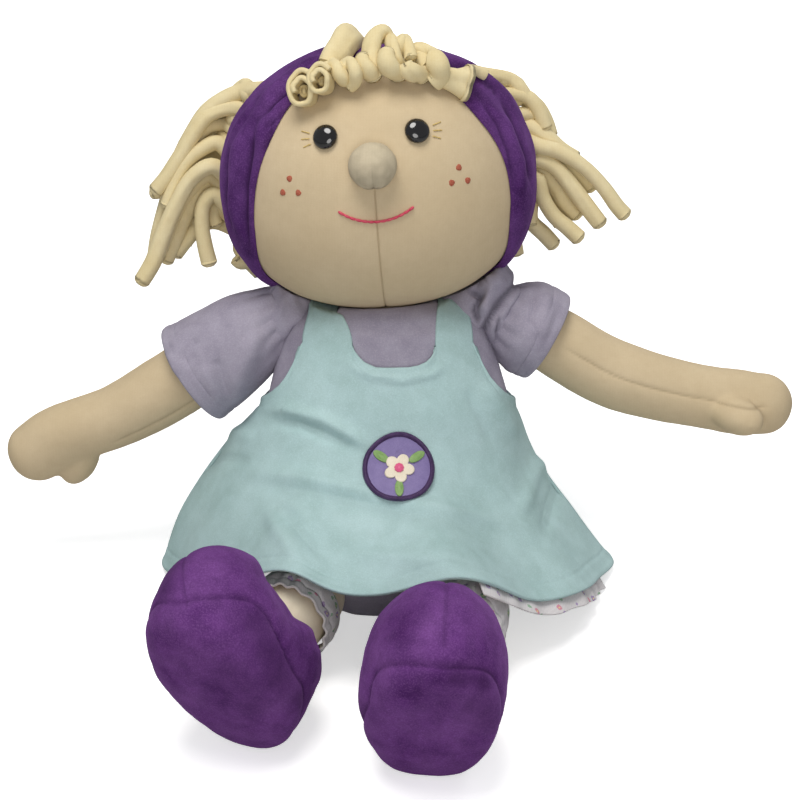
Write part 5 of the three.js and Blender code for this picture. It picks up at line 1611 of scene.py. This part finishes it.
# Picture lines: the sole's seam where it shows, and the seam over the toe.
SOLE_LINES = {
    "right": [(148, 614), (165, 606), (184, 600), (218, 596), (243, 597), (256, 602), (268, 616),
              (281, 642), (293, 668), (311, 701)],
    "left": [(368, 704), (369, 686), (374, 672), (386, 665), (411, 664), (444, 667), (480, 668),
             (493, 673), (500, 686), (503, 704)],
}
TOE_LINES = {
    "right": [(188, 552), (184, 572), (182, 596)],
    "left": [(447, 586), (446, 620), (444, 662)],
}
# Painted shade where the velour's nap looks dark in the light: darkness, width in pixels and
# picture line.
NAP_SHADE_LINES = {
    "right": [(0.5, 13, [(158, 602), (166, 576), (178, 552)]),
              (0.45, 14, [(232, 606), (256, 626), (272, 658), (286, 700)]),
              (0.3, 24, [(215, 660), (250, 690), (268, 720)]),
              (0.35, 10, [(292, 690), (304, 700), (312, 716)])],
    "left": [(0.55, 10, [(440, 676), (470, 678), (498, 684)]),
             (0.4, 16, [(462, 694), (482, 712), (490, 735)]),
             (0.3, 14, [(390, 655), (404, 624), (424, 596)]),
             (0.22, 22, [(405, 690), (435, 700), (455, 715)])],
}
# Dents and ridges of the plush, as picture lines.
SHOE_DENTS = {
    "right": [(-7.4, 21, [(262, 548), (288, 578), (305, 604), (318, 630)]),
              (1.6, 18, [(322, 640), (324, 662), (320, 690)])],
    "left": [],
}
SOLE_GROOVE, TOE_GROOVE = [(1.3, 0, 1.1), (1.0, 0, 4.2)], [(0.7, 0, 0.9), (0.7, 0, 3.4)]
SHOE_PLUMP, SHOE_DARKEST = 0.65, 0.8
UPPER_POWER, SOLE_POWER, SHOE_TURNOVER = 2.2, 4.0, 0.12
SEAM_NEAR, SEAM_SOFT, SEAM_GAP = 6, 0.3, 0.5
FLOOR_SOFT, FLOOR_GAP = 3.0, 0.15


def on_shoe(d):
    """The smooth shoe's surface in each direction from its middle."""
    toward_sole = ease((SHOE_TURNOVER - d[..., 1]) / (2 * SHOE_TURNOVER))
    power = lerp(UPPER_POWER, SOLE_POWER, toward_sole)
    depth = lerp(SHOE_UP, SHOE_DOWN, toward_sole)
    outline = np.hypot(d[..., 0] / SHOE_WIDE, d[..., 2] / SHOE_LONG)
    return d * ((outline**power + np.abs(d[..., 1] / depth) ** power) ** (-1 / power))[..., None]


def placed_shoe(points, name):
    return points @ SHOE_TURN[name].T + SHOE_AT[name]


def shoe_seams(points, name):
    """The sole's seam as a dense loop on the shoe, and the toe seam's side place at each rise."""
    facing = dot(points @ SHOE_TURN[name].T, unit(EYE_POINT - SHOE_AT[name])) > 0
    near, seen = points[facing], to_picture(placed_shoe(points, name))[facing]

    def pick(line, count):
        """Points of the shoe under a picture line."""
        line = spaced(np.array(line, float), count)[:, None]
        off = np.linalg.norm(seen[None] - line, axis=-1)
        order = np.argsort(off, axis=1)[:, :SEAM_NEAR]
        weight = 1 / (SEAM_SOFT + np.take_along_axis(off, order, 1))
        return (near[order] * weight[..., None]).sum(1) / weight.sum(1)[:, None]

    shown = softened(pick(SOLE_LINES[name], 90)[:, None], 8)[:, 0]
    if shown[0, 0] > shown[-1, 0]:
        shown = shown[::-1]
    size = (1 - (SOLE_SEAM / SHOE_DOWN) ** SOLE_POWER) ** (1 / SOLE_POWER)
    ends = [math.atan2(p[0] / SHOE_WIDE, p[2] / SHOE_LONG) for p in (shown[-1], shown[0])]
    behind = np.linspace(ends[0] + SEAM_GAP, ends[1] + 2 * math.pi - SEAM_GAP, 90)
    level = np.stack([SHOE_WIDE * size * np.sin(behind), np.full(90, SOLE_SEAM),
                      SHOE_LONG * size * np.cos(behind)], -1)
    loop = on_shoe(unit(catmull(np.vstack([shown[::6], level[::6], shown[:1]]), 500)))
    toe = pick(TOE_LINES[name], 20)
    return loop, np.polyfit(toe[:, 1], toe[:, 0], 1)


def shoe_ball(name):
    """A stuffed shoe, with its seams and the floor pressed into it."""
    polar, around = crossed(np.radians(np.linspace(0.8, 179.2, 130)), full_turn(170))
    d = np.stack([np.sin(polar) * np.sin(around), -np.sin(polar) * np.cos(around),
                  np.cos(polar)], -1)
    points = on_shoe(d)
    up = points[..., 1]
    seam, tilt = shoe_seams(points, name)
    off = np.array([np.linalg.norm(row[:, None] - seam, axis=-1).min(1) for row in points])
    lift = SHOE_PLUMP - ridges(off, SOLE_GROOVE)
    lift += folds(placed_shoe(points, name), SHOE_DENTS[name])
    stitch = np.sin(points[..., 2] * 1.6 + np.arctan2(points[..., 0], points[..., 2]) * 30)
    lift += 0.12 * stitch * bell(off, 2.2)
    across = points[..., 0] - np.polyval(tilt, up)
    on_upper = ease((up - SOLE_SEAM + 2) / 3) * ease((points[..., 2] + 8) / 10)
    lift -= ridges(across, TOE_GROOVE) * on_upper
    lift += 0.8 * lumps(points, 19, 5.0) + 0.25 * lumps(points, 6, 8.0)
    marks = np.maximum(0.4 * bell(off, 0.9), 0.22 * bell(across, 0.8) * on_upper)
    points = placed_shoe(points + unit(points) * lift[..., None], name)
    # Painted nap shade on top of the seams' darker lines.
    marks = np.clip(marks + folds(points, NAP_SHADE_LINES[name]), 0, SHOE_DARKEST)
    low, left = points[..., 2], FLOOR_SOFT - FLOOR_GAP
    pressed = FLOOR_GAP + left * np.exp((low - FLOOR_SOFT) / left)
    points[..., 2] = np.where(low < FLOOR_SOFT, pressed, low)
    return (*tube_parts(points), marks)


for name in SIGN:
    part(f"{name}_leg_plush", *leg_skin(name), LEG, f"{name}_leg", "cream_jersey",
         [f"{name}_leg_skin", f"{name}_leg_stuffing"], 0.75)
    grid = cuff_grid(name)
    cuff = part(f"{name}_bloomer_cloth", *shell(grid, CUFF_CLOTH, True), PRINT, f"{name}_leg",
                "printed_cotton", [f"{name}_bloomer_leg"])
    marked(f"{name}_shoe_plush", shoe_ball(name), SHOE, f"{name}_leg", "purple_velour",
           [f"{name}_shoe_{layer}" for layer in ("upper", "sole", "stuffing")], 0.85)


# ---------------------------------------------------------------- pinafore
WAIST = 0.6755 * TORSO
STRAP_ROOT = 0.9 * TORSO
# The top edge's share of the torso's height at each turn in degrees, from the front to the back.
NECKLINE = [
    [0, 0.833], [11, 0.834], [16, 0.839], [20, 0.849], [23, 0.863], [25.2, 0.88], [26.5, 0.9],
    [52.5, 0.9], [53.4, 0.868], [54.8, 0.83], [57, 0.795], [61, 0.76], [67, 0.735], [74, 0.719],
    [82, 0.71], [90, 0.705], [97, 0.705], [106, 0.722], [116, 0.77], [122, 0.815], [126, 0.862],
    [127.5, 0.9], [153.5, 0.9], [157.5, 0.86], [165, 0.83], [180, 0.82],
]
NECK_AT_RIGHT = [[0, 0.833], [6, 0.834], [11.8, 0.849], [15, 0.865], [17.7, 0.884], [19.4, 0.9],
                 [52.5, 0.9]]
STRAP_TURNS = [30, 52.5]
# Where each strap starts and ends on the front's top edge, in degrees from the middle.
STRAP_FOOT = {-1: (19.5, 52.4), 1: (26.6, 52.4)}
KNEE_X = {n: LEG_ROUTE[n].at(np.array([40.0]))[0][0][0] for n in SIGN}
KNEE_RISE, KNEE_WIDE = 12.0, 24.0
CLOTH, CLOTH_GAP = 1.6, 0.9
# The hem's half width, its middle behind the origin, and its reach to the front and the back.
HEM_WIDE, HEM_MIDDLE, HEM_FRONT, HEM_BACK = 112.0, 28.0, 113.0, 62.0
HEM_CLEAR, LAP, BULGE = 3.0, 49.0, 7.0
# Rises of the hem: height, turn in degrees and width.
HEM_WAVES = [(4, -22, 8), (-6, 40, 12)]
DRAPE_OUT, DRAPE_UNDER, SKIRT_LEAN = 36.0, (30.0, 6.0), 7.0
FLUTES, FLUTE = 10, 4.0
BODICE_ROWS, SKIRT_ROWS, SOFTENING = 44, 110, 30


def signed_degrees(turn):
    return (math.degrees(turn) + 180) % 360 - 180


def top_edge(turn):
    """How high up the torso the pinafore reaches."""
    degrees = signed_degrees(turn)
    rows = NECK_AT_RIGHT if -STRAP_TURNS[1] < degrees < 0 else NECKLINE
    return TORSO * table(abs(degrees), rows, 1)


def hem_point(turn):
    """A point of the hem, which lies over the lap and rises over the knees."""
    across, forward = math.sin(turn), math.cos(turn)
    x, front = HEM_WIDE * across, max(forward, 0.0)
    y = HEM_MIDDLE - HEM_FRONT * front**1.3 - HEM_BACK * min(forward, 0.0)
    knees = sum(KNEE_RISE * math.exp(-(((x - k) / KNEE_WIDE) ** 2)) * front
                for k in KNEE_X.values())
    lap = LAP * (1 - abs(across) ** 2.4) if forward > 0 else 0.0
    lap += ridges(signed_degrees(turn), HEM_WAVES)
    return np.array([x, y, HEM_CLEAR + lap + knees])


def outward_at(turn, rise=0.0):
    return np.array([math.sin(turn), -math.cos(turn), rise])


def skirt_line(turn):
    """Points down the inside of the skirt at one turn, close together."""
    waist, hem = over_torso(WAIST, turn, CLOTH_GAP), hem_point(turn)
    forward = max(math.cos(turn), 0.0)
    aside = 1 - forward
    third = (hem - waist) / 3
    bulge = outward_at(turn) * BULGE * aside
    down = waist - SPINE * DRAPE_OUT * forward + third * aside + bulge
    under = np.array([0, *(reach * forward for reach in DRAPE_UNDER)])
    flare = hem + under - third * aside + bulge
    t = np.linspace(0, 1, 200)[:, None]
    return ((1 - t) ** 3 * waist + 3 * t * (1 - t) ** 2 * down + 3 * t * t * (1 - t) * flare
            + t**3 * hem)


def skirt_at(line, shares):
    """Points at shares of a skirt line, which leans to the doll's right, and its length."""
    run = run_along(line)
    points = at_run(line, run, np.clip(shares, 0, 1) * run[-1])
    points[..., 0] -= SKIRT_LEAN * np.sin(np.pi * shares)
    return points, run[-1]


def flute_at(turn):
    return outward_at(turn) * (FLUTE * (1 - math.cos(FLUTES * turn)) / 2)


def dress_grid(turns):
    """The smooth inside of the pinafore, a column for each turn."""
    grid = np.zeros((BODICE_ROWS + SKIRT_ROWS, len(turns), 3))
    shares = np.linspace(0, 1, SKIRT_ROWS)
    for j, turn in enumerate(turns):
        heights = np.linspace(top_edge(turn), WAIST, BODICE_ROWS, endpoint=False)
        grid[:BODICE_ROWS, j] = over_torso(heights, turn, CLOTH_GAP)
        points, _ = skirt_at(skirt_line(turn), shares)
        grid[BODICE_ROWS:, j] = points + flute_at(turn) * (shares**2)[:, None]
    return grid


FRONT_FOLDS = [
    (1.8, 7, [(262, 412), (290, 410), (325, 420), (352, 436), (375, 450)]),
    (-1.3, 6, [(268, 424), (300, 424), (330, 438), (362, 452)]),
    (1.8, 9, [(246, 470), (300, 480), (360, 492), (420, 506), (470, 518), (520, 530)]),
    (-1.5, 8, [(252, 486), (310, 494), (370, 507), (430, 522), (480, 534)]),
    (1.6, 10, [(330, 556), (400, 560), (470, 566)]),
    (1.2, 8, [(200, 440), (230, 432), (262, 440)]),
    (-1.0, 7, [(190, 470), (222, 458), (256, 462)]),
    (1.4, 8, [(545, 450), (530, 480), (520, 520)]),
    (-1.2, 7, [(560, 470), (548, 505), (541, 540)]),
    (1.3, 8, [(480, 380), (500, 410), (515, 440)]),
    (-0.8, 6, [(462, 386), (480, 420), (492, 452)]),
    (1.0, 5, [(345, 362), (372, 376), (402, 380), (432, 374), (448, 362)]),
    (-1.2, 7, [(280, 505), (300, 530), (325, 560)]),
    (1.4, 8, [(268, 512), (285, 540), (300, 565)]),
]
PANEL_LIFT, FOLD_STRENGTH, FOLD_DEEPEST = 1.7, 1.5, -1.3
# Near the badge's place in the picture the folds are calmer, by this share.
BADGE_PIXEL, BADGE_CLEAR, BADGE_CALM = (405, 470), 40, 0.85
HEM_STITCH, PANEL_FLOOR = 9.5, 1.6
PANEL_HEM = [(0.5, 1.5, 1.8), (-0.4, HEM_STITCH, 0.9)]
PANEL_TOP = [(0.4, 1.3, 1.6), (-0.25, 6.0, 0.9)]
SIDE_INSET = 0.15 / HALF_WIDTH
# The top edge carries a strap where it is higher than this. The second value has room for cloth.
STRAP_EDGE, STRAP_SEAT = 0.899 * TORSO, 0.893 * TORSO


def panel(start, end, columns, fold_lines):
    """The outside of one panel of the pinafore, with its folds, hem and stitched edge."""
    turns = np.linspace(start + SIDE_INSET, end - SIDE_INSET, columns)
    grid = dress_grid(turns)
    grid = np.stack([spaced(column, len(column)) for column in grid.transpose(1, 0, 2)], 1)
    grid = softened(grid, SOFTENING)
    grid = grid + swell(grid)
    normal = grid_normals(grid)
    middle = BODICE_ROWS + 16, columns // 2
    if dot(normal[middle], grid[middle] - BODY_MIDDLE) < 0:
        normal = -normal
    lift = np.full(grid.shape[:2], PANEL_LIFT)
    near_badge = bell(np.linalg.norm(to_picture(grid) - BADGE_PIXEL, axis=-1), BADGE_CLEAR)
    pressed = np.maximum(FOLD_STRENGTH * folds(grid, fold_lines), FOLD_DEEPEST)
    lift += pressed * (1 - BADGE_CALM * near_badge)
    lift += 0.45 * lumps(grid, 24, 2.0)
    down = np.linspace(-0.15, 1, BODICE_ROWS + SKIRT_ROWS).clip(0)
    length = np.linalg.norm(np.diff(grid, axis=0), axis=-1)
    from_hem = np.vstack([np.cumsum(length[::-1], 0)[::-1], np.zeros((1, columns))])
    lift += ridges(from_hem, PANEL_HEM)
    lift += 0.1 * bell(from_hem - HEM_STITCH, 1.3) * np.sin(np.arange(columns) * 1.3)[None]
    from_top = np.vstack([np.zeros((1, columns)), np.cumsum(length, 0)])
    strap = np.array([top_edge(turn) for turn in turns]) > STRAP_EDGE
    lift += (1 - strap)[None] * ease(from_top / 0.4) * ridges(from_top, PANEL_TOP)
    lift += 0.6 * down[:, None] * lumps(grid, 40, 12.0)
    grid = grid + normal * lift[..., None]
    grid[..., 2] = np.maximum(grid[..., 2], PANEL_FLOOR)
    return grid


front_grid = facing_out(panel(-math.pi / 2, math.pi / 2, 300, FRONT_FOLDS), BODY_MIDDLE)
back_grid = facing_out(panel(math.pi / 2, 1.5 * math.pi, 220, []), BODY_MIDDLE)
# Painted shade in the front's pressed-in folds, a quarter as dark; none on the back.
shade = {"front": 0.25 * painted_crease_shade(front_grid, FRONT_FOLDS), "back": None}
for name, grid in (("front", front_grid), ("back", back_grid)):
    piece = sheet_part(f"pinafore_{name}_panel", grid, CLOTH, MINT, "mint_velour",
                       f"pinafore_{name}", shade[name])
    seated = dot(grid[0] - FOOT, SPINE) > STRAP_SEAT
    crisp(piece, joint_keys(grid, 0, np.flatnonzero(seated)))


def torso_reach(x, around):
    """How far the torso reaches from its middle, in the section at x, towards an angle."""
    low, high = 0.0, HALF_DEPTH
    for _ in range(20):
        reach = (low + high) / 2
        height = STRAP_ROOT + reach * math.sin(around)
        wide, deep = torso_halves(min(height, TORSO))
        inside = math.hypot(x / wide, reach * math.cos(around) / deep) < 1 and height < TORSO
        low, high = (reach, high) if inside else (low, reach)
    return high


STRAP_ROWS, STRAP_COLUMNS, STRAP_LIFT, STRAP_HEAD_GAP = 90, 24, 3.0, 0.8
STRAP_MIDDLE = FOOT + SPINE * (STRAP_ROOT - 10)
# Across half a strap, from its middle at 0 to its edge at 1.
STRAP_SECTION = [(0.3, 0.86, 0.12), (-0.25, 0.6, 0.07)]
# The rows that give way where a strap is sewn on: at the front of the doll's right, elsewhere.
GIVE_AT_RIGHT, GIVE = 14, 22


def strap_line(side, turn, arounds):
    """One line over the shoulder, close to the torso and risen to meet the head."""
    x = torso_halves(STRAP_ROOT)[0] * math.sin(turn)
    reaches = np.array([torso_reach(x, a) for a in arounds[::3]])
    reach = np.interp(arounds, arounds[::3], reaches)
    for _ in range(6):
        reach[1:-1] = (reach[:-2] + 2 * reach[1:-1] + reach[2:]) / 4
    up, ahead = reach * np.sin(arounds), reach * np.cos(arounds)
    base = FOOT + SPINE * (STRAP_ROOT + up)[:, None] + FRONT * ahead[:, None] + SIDE * side * x
    out = FRONT * np.cos(arounds)[:, None] + SPINE * np.sin(arounds)[:, None]
    rise = meeting(base, STRAP_ROOT + up, STRAP_GAP)
    return base + out * STRAP_LIFT + SPINE * rise[:, None]


def sewn_on(grid, side):
    """The strap with its first and last rows on the top edges of the panels."""
    rows, half = np.arange(len(grid)), np.pi / 2 - SIDE_INSET
    for row, top, start in ((0, front_grid[0], 0.0), (-1, back_grid[0], np.pi)):
        spread = np.radians(np.linspace(*STRAP_FOOT[1 if row else side], STRAP_COLUMNS))
        at = side * spread if row == 0 else np.pi - side * spread
        columns = np.linspace(start - half, start + half, len(top))
        if (top[0, 0] > top[-1, 0]) == (row == 0):
            columns = columns[::-1]
        order = np.argsort(columns)
        seat = [np.interp(at, columns[order], top[order, k]) for k in range(3)]
        give = GIVE if row or side > 0 else GIVE_AT_RIGHT
        fade = ease(1 - np.abs(rows - row % len(rows)) / give)
        grid = grid + (np.stack(seat, -1) - grid[row]) * fade[:, None, None]
    return grid


def strap_grid(side):
    """A strap over the shoulder, from the front panel's top edge to the back's."""
    arounds = np.linspace(0, np.pi, STRAP_ROWS)
    turns = np.radians(np.linspace(*STRAP_TURNS, STRAP_COLUMNS))
    grid = np.stack([strap_line(side, turn, arounds) for turn in turns], 1)
    edge = np.abs(np.linspace(-1, 1, STRAP_COLUMNS))
    normal = grid_normals(grid)
    normal = normal * np.sign(dot(normal, grid - STRAP_MIDDLE))[..., None]
    lift = ridges(edge, STRAP_SECTION)[None] + 0.3 * lumps(grid, 9, 3.0)
    grid = sewn_on(grid + normal * lift[..., None], side)
    return facing_out(clear_of_head(grid, STRAP_HEAD_GAP), STRAP_MIDDLE)


for name, side in SIGN.items():
    grid = strap_grid(side)
    strap = sheet_part(f"{name}_strap_cloth", grid, CLOTH, MINT, "mint_velour", f"{name}_strap")
    crisp(strap, np.r_[joint_keys(grid, 0, range(STRAP_COLUMNS)),
                       joint_keys(grid, -1, range(STRAP_COLUMNS))])


RUFFLE_TURNS, RUFFLE_DROPS, RUFFLE_CLOTH, RUFFLE_FLOOR = (22.5, 75), (-12, 7), 0.8, 1.2


def ruffle_grid():
    """The lining that shows under the hem at the doll's left."""
    turns = np.radians(np.linspace(*RUFFLE_TURNS, 150))
    drops = np.linspace(*RUFFLE_DROPS, 46)
    low = ease((drops + 9) / 12)
    grid = np.zeros((len(drops), len(turns), 3))
    for j, turn in enumerate(turns):
        points, _ = skirt_at(skirt_line(turn), np.array([0.97, 1.0]))
        down = unit(points[1] - points[0])
        hem = points[1] + flute_at(turn)
        wave = math.sin(48 * turn + 1.3 * math.sin(11 * turn))
        outward = outward_at(turn, 0.3)
        grid[:, j] = hem + down * drops[:, None] - outward * CLOTH_GAP
        grid[:, j] += outward * (0.75 * wave * low)[:, None]
        grid[:, j] += down * (0.35 * math.sin(19 * turn) * low)[:, None]
    grid[..., 2] = np.maximum(grid[..., 2], RUFFLE_FLOOR)
    return facing_out(grid, BODY_MIDDLE)


sheet_part("hem_ruffle", ruffle_grid(), RUFFLE_CLOTH, PRINT, "printed_cotton", "hem_lining")


# ---------------------------------------------------------------- badge
BADGE_TURN, BADGE_FALL, BADGE_FIT = math.radians(9.5), 27.0, 21.0
BADGE_CLOTH, BADGE_RING = 16.2, (15.2, 17.6)
# Points of the panel on each side of the badge's middle: those that it faces with, and those of
# the patch that it is fitted to, upwards, downwards and across.
BADGE_NEAR, PATCH_UP, PATCH_DOWN, PATCH_ACROSS = 26, 60, 70, 75


def cubic_terms(u, v):
    return np.stack([np.ones_like(u), u, v, u * u, u * v, v * v, u**3, u * u * v, u * v * v, v**3],
                    -1)


def badge_surface():
    """A function that places badge points, in millimetres across and up, over the front panel."""
    line = skirt_line(BADGE_TURN)
    _, length = skirt_at(line, np.zeros(1))
    centre, _ = skirt_at(line, np.array([BADGE_FALL / length]))
    off = np.linalg.norm(front_grid.reshape(-1, 3) - centre[0], axis=1)
    row, column = divmod(int(np.argmin(off)), front_grid.shape[1])
    local = tuple(slice(k - BADGE_NEAR, k + BADGE_NEAR + 1) for k in (row, column))
    facing = unit(grid_normals(front_grid)[local].mean((0, 1)))
    right = unit(SIDE - facing * facing[0])
    low = -unit(np.cross(facing, right))
    if low[2] > 0:
        low = -low
    seat = front_grid[row, column]
    rows = slice(row - PATCH_UP, row + PATCH_DOWN)
    columns = slice(max(0, column - PATCH_ACROSS), column + PATCH_ACROSS + 1)
    patch = front_grid[rows, columns].reshape(-1, 3) - seat
    u, v, h = patch @ right, patch @ low, patch @ facing
    near = np.hypot(u, v) < BADGE_FIT
    terms = cubic_terms(u[near], v[near])
    fit, *_ = np.linalg.lstsq(terms, h[near], rcond=None)
    top = (h[near] - terms @ fit).max()

    def place(a, d, lift):
        a, d = np.broadcast_arrays(np.asarray(a, float), np.asarray(d, float))
        height = cubic_terms(a, d) @ fit + 0.6 * top + lift
        return seat + a[..., None] * right + d[..., None] * low + height[..., None] * facing

    return place


badge_place = badge_surface()


def patch_shape(outline, centre, low, high, rings, dome=0.0, ridges=0.0, count=0):
    """A low embroidered shape. outline gives its radius at each angle."""
    turns = full_turn(144)
    edge = outline(turns)
    inside = np.linspace(0.97, 0.05, rings)
    shares = np.r_[1.0, 1.0, inside]
    lifts = np.r_[low, (low + high) / 2, high + dome * (1 - inside**2)]
    points = []
    for share, lift in zip(shares, lifts):
        radius = edge * share
        rise = lift + ridges * np.sin(count * turns) * (0.3 < share < 0.99)
        points.append(badge_place(centre[0] + radius * np.cos(turns),
                                  centre[1] - radius * np.sin(turns), rise))
    return tube_parts(np.array(points))


def satin_ring(inner, outer, low, high, count):
    """A raised ring of close stitches."""
    turns = full_turn(count * 6)
    rings = []
    for share in np.linspace(0, 1, 9):
        radius = lerp(inner, outer, share) + 0.12 * np.sin(5 * turns) * (share in (0, 1))
        rise = low + (high - low) * math.sin(math.pi * (0.08 + 0.84 * share)) ** 0.5
        rings.append((radius, rise + 0.11 * np.sin(count * turns + 1.2 * share)))
    rings += [(outer, low - 0.6), (inner, low - 0.6)]
    grid = np.array([badge_place(radius * np.cos(turns), -radius * np.sin(turns), rise)
                     for radius, rise in rings]).transpose(1, 0, 2)
    return grid.reshape(-1, 3), grid_faces(len(turns), len(rings), True, True)


PETALS, PETAL_REACH, BLOOM_AT = 5, 7.6, (0, 0.2)
LEAF_TURNS, LEAF_OUT = np.radians([35, 145, 270]), 10.6
LEAF_REACH, LEAF_SLIM, BLOOM_HEART = 2.1, 0.22, 2.3


def petal_outline(angle):
    return PETAL_REACH * (0.62 + 0.38 * np.abs(np.cos(PETALS * angle / 2 + 0.3)) ** 0.8)


def round_outline(angle):
    return np.full_like(angle, BADGE_CLOTH)


def heart_outline(angle):
    return BLOOM_HEART + 0.12 * np.sin(9 * angle)


def leaf_outline(turn):
    def outline(angle):
        a = angle - turn
        return LEAF_REACH / np.sqrt(np.cos(a) ** 2 * LEAF_SLIM + np.sin(a) ** 2)

    return outline


part("badge_cloth", *patch_shape(round_outline, (0, 0), 0.1, 1.2, 26), GROUND, "torso",
     "badge_violet", ["badge_ground"])
part("badge_satin_edge", *satin_ring(*BADGE_RING, 0.2, 2.2, 150), BORDER, "torso", "badge_purple",
     ["badge_border"])
part("badge_blossom_stitches", *patch_shape(petal_outline, BLOOM_AT, 1.1, 2.1, 16, 0.35, 0.09, 60),
     PETAL, "torso", "badge_cream", ["badge_blossom"])
make("badge_heart_stitches", *patch_shape(heart_outline, BLOOM_AT, 2.1, 3.0, 10, 0.3, 0.08, 24),
     HEART, "torso")
for k, turn in enumerate(LEAF_TURNS):
    at = (LEAF_OUT * math.cos(turn), BLOOM_AT[1] - LEAF_OUT * math.sin(turn))
    make(f"badge_leaf_stitches_{k + 1}",
         *patch_shape(leaf_outline(turn), at, 1.1, 1.9, 10, 0.2, 0.07, 30), LEAF, "torso")


# ---------------------------------------------------------------- floor, light and camera
FLOOR_REACH = 9.0
# The floor's glow to the camera grows over these distances from the doll, in metres.
GLOW_FROM, GLOW_TO, GLOW_LEAST = 0.45, 1.1, 0.5


def floor_sheet():
    """A pale floor, evenly white away from the doll."""
    t = Tree("paper_white")
    grain = t.noise(3, 2)
    seen = t.mix(t.times(grain, 0.03), colour(255, 255, 255), colour(240, 240, 242))
    path = t.add("ShaderNodeLightPath", {}).outputs["Is Camera Ray"]
    t.shade(Base_Color=t.mix(path, colour(190, 190, 190), seen))
    off = t.add("ShaderNodeVectorMath", {0: t.place}, operation="LENGTH").outputs["Value"]
    glow = t.span(off, GLOW_FROM, GLOW_TO, GLOW_LEAST, 1.0)
    t.shade(Emission_Color=(1, 1, 1, 1), Emission_Strength=t.times(path, glow))
    t.shade(Roughness=0.9, Specular_IOR_Level=0.1)
    mesh = bpy.data.meshes.new("floor")
    corners = [(-1, -1), (1, -1), (1, 1), (-1, 1)]
    mesh.from_pydata([(x * FLOOR_REACH, y * FLOOR_REACH, 0) for x, y in corners], [],
                     [(0, 1, 2, 3)])
    mesh.materials.append(t.material)
    stood("floor", mesh)


def lamp(name, place, toward, size, watts, tint):
    light = bpy.data.lights.new(name, "AREA")
    light.shape, light.size, light.energy, light.color = "DISK", size, watts, tint
    obj = stood(name, light)
    obj.location = place
    aim = Vector(toward) - Vector(place)
    obj.rotation_euler = aim.to_track_quat("-Z", "Y").to_euler()


def world_light():
    """White to the camera, and a dim cool fill to everything else."""
    world = bpy.data.worlds.new("studio")
    world.use_nodes = True
    nodes, links = world.node_tree.nodes, world.node_tree.links
    nodes.clear()
    out, glow, seen, both, path = (nodes.new(f"ShaderNode{kind}") for kind in (
        "OutputWorld", "Background", "Background", "MixShader", "LightPath"))
    for node, tint, strength in ((seen, (1, 1, 1, 1), 1.0), (glow, (0.93, 0.96, 1.0, 1), 0.32)):
        node.inputs["Color"].default_value = tint
        node.inputs["Strength"].default_value = strength
    for k, socket in enumerate((path.outputs["Is Camera Ray"], glow.outputs[0], seen.outputs[0])):
        links.new(socket, both.inputs[k])
    links.new(both.outputs[0], out.inputs["Surface"])
    bpy.context.scene.world = world


floor_sheet()
world_light()
lamp("overhead", (-0.2, -0.25, 1.5), (0, 0.02, 0.12), 0.8, 13, (1.0, 0.98, 0.95))
lamp("front", (0.1, -1.5, 0.6), (0, 0, 0.12), 0.9, 8, (1.0, 0.98, 0.96))
lamp("behind", (0.9, 1.2, 0.9), (0, 0.05, 0.15), 0.8, 5, (0.97, 0.98, 1.0))

camera = stood("camera", bpy.data.cameras.new("camera"))
camera.data.lens = FOCAL_PIXELS / PICTURE * SENSOR
camera.data.sensor_width = SENSOR
camera.data.clip_start, camera.data.clip_end = 0.05, 20
camera.location = Vector(EYE_POINT * MM)
camera.rotation_mode = "QUATERNION"
camera.rotation_quaternion = Vector(FORWARD).to_track_quat("-Z", "Y")
bpy.context.scene.camera = camera
bpy.context.scene.view_settings.view_transform = "Standard"
